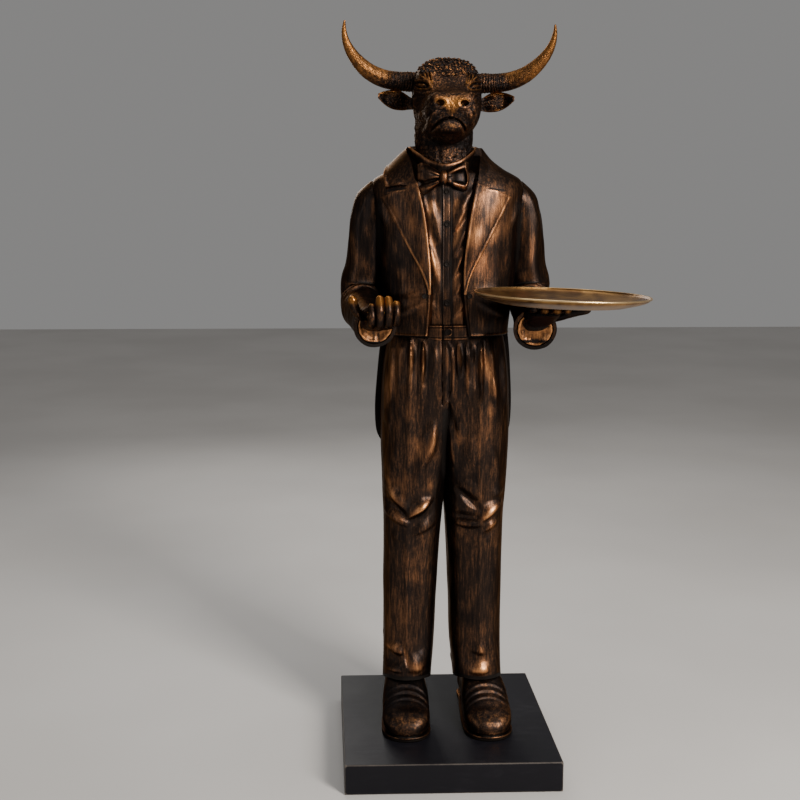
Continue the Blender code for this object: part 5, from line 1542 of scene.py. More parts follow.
    def back_and_sides(self, angle: Array, z: Array) -> Array:
        """Plainer folds where the photograph doesn't reach: a back crease, knee pulls and a side seam."""
        behind = fade(np.sin(angle), 0.1, 0.6)
        raised = 0.005 * bump(angle % (2 * math.pi), math.pi / 2, 0.05) * behind * fade(0.8 - z, 0, 0.1)
        raised = raised - 0.0014 * bump(np.sin(angle), 0.0, 0.022) * (np.cos(angle) > 0)
        return raised + gathers(z, angle, self.back_gathers, 0.0085) * behind

    def build(self) -> bpy.types.Object:
        """Both legs as one casting."""
        trousers = fuse("trousers", [self.leg(side) for side in Side])
        x, y, z = from_soles(trousers)
        hem = 0.0985 + 0.0165 * fade(-y, -0.03, 0.03)
        # Painted shade under the coat's hem, along the bottom of the legs below the hem line, and down the gap
        # between the legs.
        painted_shade = 0.8 * fade(z, 0.918, 0.926) + 0.8 * fade(hem - z, 0.0, 0.004)
        painted_shade = painted_shade + 0.75 * bump(x, -0.006, 0.009) * fade(z, 0.55, 0.62) * fade(0.762 - z, 0, 0.02)
        grooves = {"broad_groove": (-16.0, -130.0), "fine_groove": (-30.0, -380.0)}
        wear_and_light = WearAndPaintedLight(fine_share=0.1, broad_share=0.7, **grooves)
        # The rows add painted highlights, with worn-bright copper, on the front.
        wear_and_light.mark(trousers, painted_shade=painted_shade, rubbed_and_highlit=0.8 * rubbing_and_highlights_along(x, z, self.rubbing_and_highlights) * (y < 0.02))
        dress(trousers, AgedBronze("bronze_trousers", brushed=0.55), "figure")
        return trousers


@dataclass
class Shoes:
    """A pair of plain leather shoes: a rounded upper on a sole with a welt.

    Sections are distance from the heel, half width and height.
    """

    heel: Point2 = (0.0865, 0.142)
    splay: float = math.radians(2.0)
    sole_height: float = 0.01
    toe_start: float = 0.245
    sections: Rows = (
        (0.004, 0.028, 0.06),
        (0.018, 0.038, 0.085),
        (0.06, 0.041, 0.108),
        (0.11, 0.047, 0.119),
        (0.15, 0.0505, 0.115),
        (0.18, 0.0535, 0.1),
        (0.205, 0.054, 0.08),
        (0.23, 0.054, 0.064),
        (0.252, 0.048, 0.055),
        (0.266, 0.0375, 0.0455),
        (0.2745, 0.0255, 0.036),
        (0.2785, 0.014, 0.0265),
        (0.28, 0.005, 0.019),
    )
    # Wrinkles across the upper: distance from the heel, bow towards the toe, width and height
    wrinkles: Rows = (
        (0.186, 0.01, 0.0026, 0.0018),
        (0.1905, 0.011, 0.0026, -0.0014),
        (0.1985, 0.012, 0.0026, 0.002),
        (0.203, 0.013, 0.0024, -0.0022),
        (0.212, 0.014, 0.0026, 0.002),
        (0.2165, 0.015, 0.0024, -0.0014),
    )

    def laid(self, side: Side, sideways: Array, travel: Array, z: Array) -> Array:
        """Points by distance along the shoe and to its side, on its own splayed line."""
        c, s = math.cos(self.splay), math.sin(self.splay)
        x = self.heel[0] + sideways * c + travel * s
        y = self.heel[1] - travel * c + sideways * s
        return xyz(side.value * x, y, z)

    def upper(self, side: Side) -> Shell:
        """The upper: superellipse sections along the foot, with wrinkles across the instep."""
        length = self.sections[-1][0]
        even = np.linspace(self.sections[0][0], self.toe_start, 120)
        toe = np.sin(np.linspace(0, math.pi / 2, 31)[1:])
        travel = np.concatenate([even, self.toe_start + (length - self.toe_start) * toe])
        half_width, height = columns_of(self.sections, travel)
        angle = once_round(96)[None]
        reach = (np.abs(np.cos(angle)) ** 3.0 + np.abs(np.sin(angle)) ** 3.0) ** (-1 / 3.0)
        wide = half_width * reach * np.cos(angle)
        low = self.sole_height - 0.004
        z = (low + height) / 2 + (height - low) / 2 * reach * np.sin(angle)
        lift = np.zeros(z.shape)
        for place, bow, width, rise in self.wrinkles:
            lift += rise * bump(travel[:, None] - bow * (wide / 0.05) ** 2, place, width)
        lift = lift * fade(np.sin(angle), 0.05, 0.75) * (0.3 + 0.45 * bump(wide, 0.0, 0.03))
        lift -= 0.0012 * bump(z, 0.0125, 0.0016)
        rings = self.laid(side, wide, travel[:, None], z)
        rings = rings + outward(rings) * lift[..., None]
        return lifted_tube(domed(rings, 0.0004, 4))

    def sole(self, side: Side) -> Shell:
        """The sole and its welt: the upper's outline, wider by the welt, with a groove round its edge."""
        length = self.sections[-1][0]
        turn = np.linspace(0, math.pi, 70)
        at = self.sections[0][0] + (1 - np.cos(turn)) / 2 * (length - self.sections[0][0])
        wide = through(self.sections, at)[:, 0]
        across = np.concatenate([wide, -wide[::-1]])
        travel = np.concatenate([at, at[::-1]])
        ahead = np.concatenate([-np.cos(turn), -np.cos(turn)[::-1]])
        sideways = np.sign(across) * np.sqrt(1 - ahead**2)
        profile = ((0.0, 0.0008), (0.0008, 0.0016), (0.0035, 0.0018), (0.0044, 0.0006), (0.0052, 0.0018))
        profile += ((0.0088, 0.0022), (0.01, 0.0014), (0.0104, -0.004))
        rings = [
            self.laid(side, across + sideways * out, travel + ahead * out, np.full(140, z))
            for z, out in profile
        ]
        return lifted_tube(np.array(rings))

    def build(self) -> bpy.types.Object:
        """Both shoes as one casting."""
        shells = [shape(side) for side in Side for shape in (self.upper, self.sole)]
        shoes = fuse("shoes", shells)
        x, y, z = from_soles(shoes)
        # Painted shade under the trousers' hem, in the groove above the welt and along the foot of the sole.
        painted_shade = 0.6 * fade(z, 0.098, 0.11) * fade(y, -0.065, -0.04)
        painted_shade += 0.85 * bump(z, 0.0125, 0.002) + 0.7 * fade(0.007 - z, 0, 0.003)
        # Gilding on the toes and along the welts, which also paints their highlights.
        toe = 0.18 * fade(-y, 0.085, 0.12) * fade(z, 0.02, 0.04)
        welt = 0.26 * bump(z, 0.0092, 0.0016) * fade(-y, 0.02, 0.08)
        WearAndPaintedLight(fine_share=0.3, broad_share=0.5).mark(shoes, painted_shade=painted_shade, gilt=toe + welt)
        finish = AgedBronze("bronze_shoes", brushed=0.42, flecks=0.4, strokes=(110.0, 80.0, 90.0))
        dress(shoes, finish, "figure")
        return shoes


# The hands


@dataclass
class Hands:
    """The right hand, palm up with its fingers curled, and the left hand, flat under the tray."""

    finger_radius: float = 0.0092
    thumb_radius: float = 0.0105
    right_fingers: tuple[Rows, ...] = (
        ((-0.184, -0.258, 0.972), (-0.184, -0.295, 0.97), (-0.184, -0.312, 0.988), (-0.184, -0.302, 1.004)),
        ((-0.168, -0.262, 0.972), (-0.168, -0.302, 0.971), (-0.168, -0.318, 1.0), (-0.168, -0.305, 1.021)),
        ((-0.1505, -0.262, 0.972), (-0.1505, -0.299, 0.973), (-0.1505, -0.314, 1.001), (-0.1505, -0.302, 1.02)),
        ((-0.1335, -0.255, 0.973), (-0.1335, -0.288, 0.976), (-0.1335, -0.3, 0.995), (-0.1335, -0.291, 1.009)),
    )
    right_palm: Rows = (
        (-0.172, -0.155, 0.959, 0.025, 0.019),
        (-0.173, -0.19, 0.962, 0.027, 0.018),
        (-0.17, -0.215, 0.966, 0.036, 0.018),
        (-0.163, -0.242, 0.97, 0.038, 0.017),
        (-0.16, -0.266, 0.971, 0.034, 0.012),
    )
    right_thumb: Rows = (
        (-0.182, -0.212, 0.972),
        (-0.206, -0.24, 0.984),
        (-0.218, -0.258, 1.001),
        (-0.222, -0.264, 1.016),
    )
    left_fingers: tuple[Rows, ...] = (
        ((0.154, -0.232, 0.991), (0.149, -0.27, 1.001), (0.147, -0.298, 1.002)),
        ((0.171, -0.24, 0.992), (0.168, -0.285, 1.0005), (0.166, -0.316, 1.001)),
        ((0.188, -0.24, 0.992), (0.189, -0.288, 1.0), (0.19, -0.321, 1.0005)),
        ((0.205, -0.232, 0.991), (0.211, -0.277, 0.9995), (0.214, -0.307, 1.0)),
    )
    left_palm: Rows = (
        (0.173, -0.145, 0.955, 0.025, 0.019),
        (0.175, -0.178, 0.962, 0.027, 0.018),
        (0.178, -0.203, 0.977, 0.036, 0.019),
        (0.18, -0.228, 0.988, 0.038, 0.018),
        (0.18, -0.25, 0.993, 0.034, 0.013),
    )
    left_thumb: Rows = (
        (0.194, -0.188, 0.97),
        (0.219, -0.212, 0.9785),
        (0.244, -0.234, 0.9885),
        (0.265, -0.25, 0.995),
    )

    def finger(self, joints: Rows, radius: float) -> Shell:
        """A finger: a tube through its joints, thicker at each joint, creased there, with a round tip."""
        rows = along([(*joint, radius) for joint in joints], 46)
        share = np.linspace(0, 1, 46)
        ends = np.linspace(0, 1, len(joints))[1:-1]
        swell = 1.04 - 0.1 * share + sum(0.07 * bump(share, end, 0.09) for end in ends)
        swell = swell + 0.05 * bump(share, 0.92, 0.07)
        tip = np.linspace(0, 1, 12)[1:]
        onward = unit(rows[-1, :3] - rows[-2, :3]) * radius
        middle = np.vstack([rows[:, :3], rows[-1, :3] + tip[:, None] * onward])
        size = radius * np.concatenate([swell, swell[-1] * np.sqrt(np.maximum(1 - tip**2, 0.0025))])
        rings = across_path(np.column_stack([middle, size, 0.94 * size]), 36, upright=(1, 0, 0))
        creases = sum(bump(share, end + gap, 0.018) for end in ends for gap in (-0.025, 0.025))
        lift = -0.0007 * np.concatenate([creases, np.zeros(11)])[:, None] * np.ones(36)
        lift += 0.0004 * unevenness(rings, (0.004, 0.004, 0.004), 61)
        return lifted_tube(rings + outward(rings) * lift[..., None])

    def palm(self, rows: Rows) -> Shell:
        """A palm: a flattened tube with a hollow on its upper side and pads beside it."""
        rings = across_path(along(rows, 70), 72, power=2.6)
        angle = once_round(72)[None]
        share = np.linspace(0, 1, 70)[:, None]
        upper = np.clip(np.sin(angle), 0, 1)
        lift = -0.004 * upper**3 * bump(share, 0.72, 0.16) + 0.0016 * upper * bump(share, 0.92, 0.06)
        lift += 0.001 * np.cos(4 * angle + 3 * share) * np.clip(-np.sin(angle), 0, 1) * fade(share, 0.4, 0.8)
        lift += 0.0006 * unevenness(rings, (0.006, 0.006, 0.006), 67)
        return lifted_tube(rings + outward(rings) * lift[..., None])

    def build(self, tray_cut: Shell) -> bpy.types.Object:
        """Both hands as one mesh, cut flat where the tray rests."""
        shells = [self.palm(self.right_palm), self.palm(self.left_palm)]
        fingers = (*self.right_fingers, *self.left_fingers)
        shells += [self.finger(joints, self.finger_radius) for joints in fingers]
        shells += [self.finger(joints, self.thumb_radius) for joints in (self.right_thumb, self.left_thumb)]
        hands = fuse("hands", shells, [tray_cut])
        x, y, z = from_soles(hands)
        tips = 0.55 * fade(z, 0.998, 1.019) * (x < 0) + 0.45 * fade(-y, 0.292, 0.318) * (x > 0)
        # Painted shade on the wrists inside the cuffs, and over the whole left hand under the tray.
        painted_shade = 0.85 * fade(y, -0.205, -0.18) + 0.25 * (x > 0)
        WearAndPaintedLight().mark(hands, painted_shade=painted_shade, gilt=tips)
        finish = AgedBronze("bronze_hands", brushed=-0.12, flecks=0.4, strokes=(110.0, 40.0, 60.0))
        dress(hands, finish, "figure")
        return hands


# The head


@dataclass
class BullHead:
    """The bull's head with its neck, horns and ears, carved on its surface, and its crown of curls.

    Sections run from the back of the skull to the nose: y, half width, top and bottom.
    """

    power: float = 2.25
    crown_power: float = 2.9
    jaw: float = 0.19
    centre: Point3 = (-0.004, 0.015, 1.462)
    turn: float = math.radians(-2.8)
    tip: float = math.radians(1.3)
    around: int = 280
    sections: Rows = (
        (0.116, 0.018, 1.466, 1.425),
        (0.108, 0.04, 1.486, 1.4),
        (0.085, 0.06, 1.508, 1.38),
        (0.045, 0.074, 1.527, 1.362),
        (0.0, 0.076, 1.532, 1.35),
        (-0.045, 0.075, 1.526, 1.344),
        (-0.085, 0.07, 1.502, 1.342),
        (-0.12, 0.063, 1.47, 1.343),
        (-0.155, 0.058, 1.455, 1.346),
        (-0.19, 0.0555, 1.447, 1.35),
        (-0.213, 0.053, 1.443, 1.356),
        (-0.232, 0.049, 1.44, 1.366),
        (-0.244, 0.041, 1.437, 1.39),
        (-0.25, 0.026, 1.432, 1.404),
    )
    # Swellings and hollows on both sides: place, reach and height
    masses: tuple[tuple[Point3, Point3, float], ...] = (
        ((0.062, -0.088, 1.468), (0.016, 0.016, 0.011), -0.0045),
        ((0.052, -0.095, 1.492), (0.018, 0.022, 0.01), 0.006),
        ((0.034, -0.238, 1.43), (0.012, 0.014, 0.012), 0.005),
        ((0.034, -0.226, 1.402), (0.016, 0.02, 0.01), 0.003),
        ((0.06, -0.05, 1.4), (0.02, 0.045, 0.03), 0.004),
        ((0.05, -0.14, 1.43), (0.016, 0.03, 0.016), -0.006),
        ((0.062, -0.12, 1.405), (0.02, 0.03, 0.02), 0.0035),
        ((0.058, -0.17, 1.385), (0.014, 0.022, 0.014), -0.0025),
    )
    # Lines carved on both sides of the face, in the front view: path, width and height
    lines: tuple[tuple[tuple[Point2, ...], float, float], ...] = (
        (((0.036, 1.46), (0.045, 1.474), (0.059, 1.4815), (0.0745, 1.482)), 0.005, 0.0046),
        (((0.035, 1.465), (0.038, 1.48), (0.0385, 1.496)), 0.0026, 0.004),
        (((0.0385, 1.469), (0.044, 1.484), (0.0455, 1.5)), 0.0026, 0.0042),
        (((0.043, 1.472), (0.051, 1.486), (0.054, 1.499)), 0.0026, 0.004),
        (((0.049, 1.477), (0.06, 1.489), (0.064, 1.496)), 0.0026, 0.0034),
        (((0.037, 1.47), (0.0412, 1.483), (0.042, 1.498)), 0.002, -0.0044),
        (((0.041, 1.474), (0.0475, 1.486), (0.0498, 1.5)), 0.002, -0.0044),
        (((0.047, 1.478), (0.056, 1.489), (0.059, 1.497)), 0.002, -0.004),
        (((0.072, 1.459), (0.059, 1.4515), (0.044, 1.453)), 0.002, -0.0022),
        (((0.07, 1.455), (0.059, 1.4475), (0.045, 1.449)), 0.0024, 0.0022),
        (((0.068, 1.45), (0.058, 1.4435), (0.048, 1.445)), 0.002, -0.0018),
        (((0.032, 1.456), (0.029, 1.47)), 0.003, -0.0014),
        (((0.046, 1.376), (0.042, 1.386), (0.034, 1.398)), 0.007, 0.0034),
        (((0.052, 1.372), (0.05, 1.386), (0.044, 1.4)), 0.003, -0.002),
        (((0.045, 1.356), (0.05, 1.364), (0.051, 1.37)), 0.004, 0.0022),
        (((0.033, 1.348), (0.042, 1.354)), 0.0034, -0.0018),
    )
    # The eye: the middle of its almond, its half sizes and how far its outer end is raised
    eye: Point2 = (0.0595, 1.468)
    eye_size: Point2 = (0.015, 0.006)
    eye_slant: float = math.radians(22)
    nostril: Point3 = (0.0245, -0.25, 1.418)
    nostril_size: Point3 = (0.009, 0.012, 0.0066)
    mouth_middle: float = -0.004
    mouth: tuple[Point2, ...] = (
        (0.0, 1.3868), (0.012, 1.3852), (0.021, 1.3805), (0.029, 1.373), (0.0345, 1.364),
    )
    neck: Rows = (
        (1.29, 0.068, -0.05, 0.085),
        (1.33, 0.064, -0.052, 0.088),
        (1.365, 0.065, -0.06, 0.096),
        (1.4, 0.064, -0.06, 0.1),
        (1.44, 0.055, -0.04, 0.095),
    )
    horn: Rows = (
        (0.05, 0.026, 1.484, 0.022),
        (0.078, 0.022, 1.486, 0.0215),
        (0.108, 0.014, 1.486, 0.021),
        (0.14, 0.004, 1.49, 0.02),
        (0.172, -0.01, 1.502, 0.018),
        (0.197, -0.022, 1.521, 0.015),
        (0.216, -0.034, 1.544, 0.0115),
        (0.227, -0.044, 1.567, 0.008),
        (0.231, -0.052, 1.59, 0.0048),
        (0.23, -0.058, 1.606, 0.0022),
    )
    horn_length: float = 0.3
    ear: Rows = (
        (0.062, 0.014, 1.433, 0.01, 0.008),
        (0.08, 0.01, 1.437, 0.014, 0.007),
        (0.1, 0.004, 1.442, 0.021, 0.006),
        (0.122, 0.0, 1.445, 0.021, 0.005),
        (0.14, -0.002, 1.448, 0.014, 0.004),
        (0.153, -0.002, 1.451, 0.005, 0.003),
    )
    ear_hollow: float = 0.012

    def pose(self) -> Array:
        """The head's turn and tip as one rotation."""
        return np.array(Matrix.Rotation(self.turn, 3, "Z") @ Matrix.Rotation(self.tip, 3, "Y"))

    def posed(self, points: Array) -> Array:
        """Points of the head, drawn facing the front, turned and tipped as the bull holds it."""
        return (np.asarray(points, float) - (0.0, *self.centre[1:])) @ self.pose().T + self.centre

    def faced(self, points: Array) -> Array:
        """Points of the finished head, back in the frame that it is drawn in."""
        return (points - (0, 0, BASE) - self.centre) @ self.pose() + (0.0, *self.centre[1:])

    def skull_rings(self) -> Array:
        """The head's sections as rings, closed by low domes, before any carving."""
        spans = ((0.116, -0.046, 50), (-0.048, -0.134, 72), (-0.136, -0.2, 40))
        nose = -0.2 - 0.05 * np.linspace(0, 1, 54)[1:] ** 0.72
        forward = np.concatenate([*(np.linspace(*span) for span in spans), nose])
        half_width, top, bottom = columns_of(self.sections, forward)
        angle = once_round(self.around)[None] + math.pi / 2
        c, s = np.cos(angle), np.sin(angle)
        power = np.where(s > 0, self.crown_power, self.power)
        reach = (np.abs(c) ** power + np.abs(s) ** power) ** (-1 / power)
        x = half_width * reach * c * (1 - self.jaw * np.clip(-s, 0, 1))
        z = (top + bottom) / 2 + (top - bottom) / 2 * reach * s
        rings = xyz(x, forward[:, None], z)
        return domed(domed(rings, 0.0015, 16)[::-1], 0.004, 8)[::-1]

    def carving(self, rings: Array) -> Array:
        """How far each point of the head is raised: masses, carved lines, the nose pad and the fur.

        Masses are bell curves of the distance to a place. Lines are bell curves of the distance to a
        path in the front view, and they fade where the surface turns away from the front.
        """
        x, y, z = np.moveaxis(rings, -1, 0)
        raised = np.zeros(x.shape)
        for (px, py, pz), (rx, ry, rz), height in self.masses:
            for side in Side:
                away = ((x - side.value * px) / rx) ** 2 + ((y - py) / ry) ** 2 + ((z - pz) / rz) ** 2
                raised += height * np.exp(-away)
        front = fade(-y, 0.035, 0.075)
        for path, width, height in self.lines:
            raised += height * trail(np.abs(x), z, path, width) * front
        raised += self.eyes(x, z) * front
        snout = fade(-y, 0.17, 0.215)
        for side in Side:
            ring = np.hypot((x - side.value * self.nostril[0]) / 0.012, (z - self.nostril[2]) / 0.0092)
            raised += 0.0016 * bump(ring, 1.05, 0.34) * snout
        pad = fade(0.04 - np.abs(x), 0.0, 0.01) * fade(z, 1.398, 1.41) * fade(1.435 - z, 0.0, 0.006)
        leather = unevenness(rings, (0.003, 0.003, 0.003), 71)
        raised += (0.0012 + 0.0006 * leather) * pad * snout
        beside = np.abs(x - self.mouth_middle)
        raised -= 0.0012 * stroke(beside, z, (0.0, 1.408), (0.0, 1.389), 0.0024) * snout
        raised -= 0.007 * trail(beside, z, self.mouth, 0.0022) * snout
        lip = ((x - self.mouth_middle) / 0.024) ** 2 + ((z - 1.37) / 0.01) ** 2
        raised += 0.0075 * np.exp(-lip) * snout
        raised -= 0.003 * stroke(beside, z, (0.0, 1.3545), (0.026, 1.3515), 0.004) * snout
        chin = ((x - self.mouth_middle) / 0.024) ** 2 + ((z - 1.344) / 0.008) ** 2
        raised += 0.0035 * np.exp(-chin) * fade(-y, 0.12, 0.17)
        bare = np.clip(pad * snout + 1.8 * np.exp(-lip) * snout, 0, 1)
        band = fade(0.017 - beside, 0.0, 0.006) * fade(z, 1.385, 1.39) * snout
        bare = np.clip(bare + band, 0, 1)
        fur = np.abs(unevenness(rings, (0.006, 0.0085, 0.0085), 73))
        fine = np.abs(unevenness(rings, (0.0034, 0.0042, 0.0042), 74))
        calm = 0.75 * bump(np.abs(x), 0.054, 0.02) * bump(z, 1.472, 0.02) * front
        raised += (0.0014 - 0.0024 * fur - 0.0048 * fine) * (1 - 0.9 * bare) * (1 - 0.35 * snout) * (1 - calm)
        return raised

    def almond(self, x: Array, z: Array) -> tuple[Array, Array]:
        """Where a place lies in an eye: its ring, which is 1 on the almond's outline, and its height.

        Both are in slanted coordinates over the half sizes. The ring is their squares' sum, rooted.
        """
        dx, dz = np.abs(x) - self.eye[0], z - self.eye[1]
        c, s = math.cos(self.eye_slant), math.sin(self.eye_slant)
        u, v = (dx * c + dz * s) / self.eye_size[0], (dz * c - dx * s) / self.eye_size[1]
        return np.sqrt(u**2 + (np.abs(v) + 0.18 * u**2) ** 2), v

    def eyes(self, x: Array, z: Array) -> Array:
        """Both eyes: a domed ball in an almond-shaped groove, between a thick and a thin lid."""
        ring, v = self.almond(x, z)
        lids = np.where(v > 0, 0.0044 * bump(ring, 1.45, 0.26), 0.0034 * bump(ring, 1.5, 0.26))
        return 0.0044 * np.clip(1 - ring**2, 0, 1) + lids - 0.004 * bump(ring, 1.02, 0.17)

    def skull(self) -> Shell:
        """The carved head."""
        rings = self.skull_rings()
        return lifted_tube(self.posed(rings + outward(rings) * self.carving(rings)[..., None]))

    def neck_column(self) -> Shell:
        """The neck: superellipse sections under short fur, which is ridged noise drawn out along z."""
        z = np.linspace(self.neck[0][0], self.neck[-1][0], 64)
        half_width, front, back = columns_of(self.neck, z)
        axis_y = (front + back) / 2
        angle = once_round(164)[None]
        reach = rounded(angle, half_width, axis_y - front, back - axis_y, 2.0)
        x, y = self.centre[0] - 0.004 + reach * np.cos(angle), axis_y + reach * np.sin(angle)
        rings = xyz(x, y, z[:, None])
        swirl = xyz(x, y + 0.15 * rings[..., 2], rings[..., 2])
        fur = np.abs(unevenness(swirl, (0.006, 0.007, 0.009), 77))
        fine = np.abs(unevenness(swirl, (0.004, 0.0045, 0.006), 78))
        return lifted_tube(rings + outward(rings) * (0.002 - 0.007 * fur - 0.005 * fine)[..., None])

    def horn_shell(self, side: Side) -> Shell:
        """A horn: a tapering tube on a smooth curve, ringed near its root and grooved along its length."""
        rows = along(self.horn, 150)
        travel = np.linspace(0, 1, 150)[:, None]
        angle = once_round(48)[None]
        rings = across_path(np.column_stack([rows, rows[:, 3]]), 48, upright=(0, -1, 0))
        root = fade(0.46 - travel, 0.0, 0.22) * fade(travel, 0.06, 0.12)
        spacing = 0.0062 + 0.0012 * np.sin(9 * travel)
        wave = np.cos(2 * math.pi * travel * self.horn_length / spacing + 0.5 * np.sin(angle))
        lift = 0.00075 * wave * root + 0.0009 * bump(travel, 0.14, 0.03)
        lift = lift + 0.00035 * np.cos(11 * angle + 5 * travel) * fade(0.9 - travel, 0, 0.3)
        lift = lift + 0.0006 * unevenness(rings, (0.006, 0.006, 0.006), 81) * fade(0.95 - travel, 0, 0.3)
        rings = rings + outward(rings) * lift[..., None]
        return lifted_tube(self.posed(domed(rings, 0.0016, 5) * (side.value, 1, 1)))

    def ear_shell(self, side: Side) -> Shell:
        """A leaf-shaped ear: flat sections, hollowed towards the front inside a rolled rim."""
        rows = along(self.ear, 70)
        out, middle_y, middle_z, half_height, thick = (column[:, None] for column in rows.T)
        angle = once_round(84)[None]
        opened = np.clip((out - 0.075) / 0.02, 0, 1) * np.clip((0.15 - out) / 0.02, 0, 1)
        front = np.clip(np.sin(angle), 0, 1)
        hollow = opened * (self.ear_hollow * front**2 + 0.01)
        rim = 0.0034 * bump(front, 0.2, 0.16) * (np.sin(angle) > 0) * opened
        veins = 0.0012 * np.cos(26 * np.cos(angle) * (1.4 - 4 * (out - 0.08))) * front * opened
        y = middle_y - thick * np.sin(angle) + hollow - rim - veins
        z = middle_z + half_height * np.cos(angle)
        return lifted_tube(self.posed(xyz(side.value * out, y, z)))

    def nostril_cuts(self) -> list[Shell]:
        """Two ellipsoids that are cut out of the nose."""
        size, place = np.array(self.nostril_size), np.array(self.nostril)
        tilt = np.linspace(-1, 1, 17) * math.pi / 2 * 0.98
        angle = once_round(32)
        x, z = np.cos(tilt)[:, None] * np.cos(angle), np.cos(tilt)[:, None] * np.sin(angle)
        ball = xyz(x, np.sin(tilt)[:, None], z) * size
        return [lifted_tube(self.posed(ball + place * (side.value, 1, 1))) for side in Side]

    def curls(self) -> bpy.types.Object:
        """The curls on the crown: some hundred short locks, each a thin tube wound to a flat spiral.

        A lock's middle line turns once and a quarter while its radius shrinks and it rises from the
        skull. All locks are worked out together as one array of (lock, step, side).
        """
        rings = self.skull_rings()
        normals = outward(rings)
        rng = np.random.default_rng(7)
        step = 0.0068
        wanted = []
        for y in np.arange(-0.112, 0.07, step):
            row = int(np.argmin(np.abs(rings[:, 0, 1] - y)))
            across = rings[row, :, 0]
            top = rings[row, :, 2] > rings[row, :, 2].max() - 0.03
            for x in np.arange(-0.066, 0.066, step):
                column = int(np.argmin(np.where(top, np.abs(across - x), 9)))
                if abs(across[column] - x) < step and rings[row, column, 2] > 1.486 + 4.0 * x * x:
                    wanted.append((row, column))
        row, column = np.array(sorted(set(wanted))).T
        place, normal = rings[row, column], normals[row, column]
        place = place + rng.normal(0, 0.0011, place.shape)
        first = unit(np.cross(normal, rng.normal(0, 1, place.shape)))
        second = np.cross(normal, first)
        t = np.linspace(0, 1, 10)[None, :, None]
        hand = rng.choice((-1.0, 1.0), len(place))[:, None, None]
        size = rng.uniform(0.0028, 0.0041, len(place))[:, None, None]
        swing = size * (1 - 0.62 * t)
        turn = 2.6 * math.pi * t * hand
        rise = rng.uniform(0.002, 0.0042, len(place))[:, None, None] * np.sin(t * math.pi * 0.6)
        flat = first[:, None] * np.cos(turn) + second[:, None] * np.sin(turn)
        middle = place[:, None] + swing * flat + normal[:, None] * rise
        forward = unit(np.gradient(middle, axis=1))
        aside = unit(np.cross(forward, normal[:, None]))
        over = np.cross(aside, forward)
        thick = 0.00125 * (1.05 - 0.6 * t[..., None])
        angle = once_round(5)
        round_ = aside[:, :, None] * np.cos(angle)[:, None] + over[:, :, None] * np.sin(angle)[:, None]
        rings = middle[:, :, None] + round_ * thick
        shells = [lifted_tube(self.posed(lock)) for lock in rings]
        offsets = np.cumsum([0] + [len(shell.points) for shell in shells[:-1]])
        merged = Shell(
            np.vstack([shell.points for shell in shells]),
            np.vstack([shell.quads + at for shell, at in zip(shells, offsets)]),
            np.vstack([shell.triangles + at for shell, at in zip(shells, offsets)]),
        )
        curls = as_object("crown_curls", merged)
        curls.data.shade_smooth()
        # Painted light on the curls: the upper sides of the higher locks get painted highlights, bright and
        # golden, and the rest gets painted shade.
        height = np.broadcast_to(rise / 0.0042, (len(place), 10, 1))[..., None] * np.ones((1, 1, 5, 1))
        upward = 0.5 + 0.5 * np.sin(angle)[None, None, :, None] * np.ones(height.shape)
        lit = rng.uniform(0.2, 1.0, (len(place), 1, 1, 1)) * height * upward
        lit = np.concatenate([lit.reshape(len(place), -1), np.zeros((len(place), 2))], axis=1)
        set_mark(curls.data, Mark.POLISH, 0.15 + 1.3 * lit.ravel())
        set_mark(curls.data, Mark.RECESS, 0.24 - 0.8 * lit.ravel())
        set_mark(curls.data, Mark.GILT, 0.55 * lit.ravel())
        return curls

    def build(self) -> list[bpy.types.Object]:
        """The head as one casting, and its curls."""
        shells = [self.skull(), self.neck_column()]
        for side in Side:
            shells += [self.horn_shell(side), self.ear_shell(side)]
        head = fuse("bull_head", shells, self.nostril_cuts())
        points, _ = corners_and_edges(head.data)
        x, y, z = self.faced(points).T
        # Painted shade on the neck inside the collar, under the jaw and under the curls.
        collar = 0.7 * fade(1.325 - z, 0.0, 0.03) * fade(y, -0.04, -0.005)
        throat = 0.5 * bump(z, 1.345, 0.008) * fade(-y, 0.02, 0.05) * fade(y, -0.16, -0.1)
        under_curls = 0.6 * fade(z, 1.492, 1.5) * (np.abs(x) < 0.06) * fade(0.072 - y, 0.0, 0.01)
        ear_z, ear_half = np.moveaxis(through(self.ear, np.abs(x)), -1, 0)[1:3]
        ears = 0.16 + 0.22 * bump(np.abs(z - ear_z) / ear_half, 0.92, 0.16)
        ears = ears * fade(np.abs(x), 0.078, 0.092) * (z < 1.469)
        beside = np.abs(x + 0.002)
        narrow = 0.013 + 0.026 * fade(z, 1.402, 1.422)
        nose = bump(z, 1.419, 0.015) * fade(narrow - beside, -0.008, 0.012)
        nose = nose + 0.5 * bump(z, 1.398, 0.012) * bump(x, 0.0, 0.015)
        nose = 0.5 * fade(-y, 0.21, 0.238) * nose * fade(1.441 - z, 0.0, 0.006)
        lip = 0.3 * np.exp(-((x / 0.022) ** 2) - ((z - 1.3735) / 0.008) ** 2) * (y < -0.2)
        seen = fade(-y, 0.05, 0.075) * (y > -0.14)
        ring, _ = self.almond(x, z)
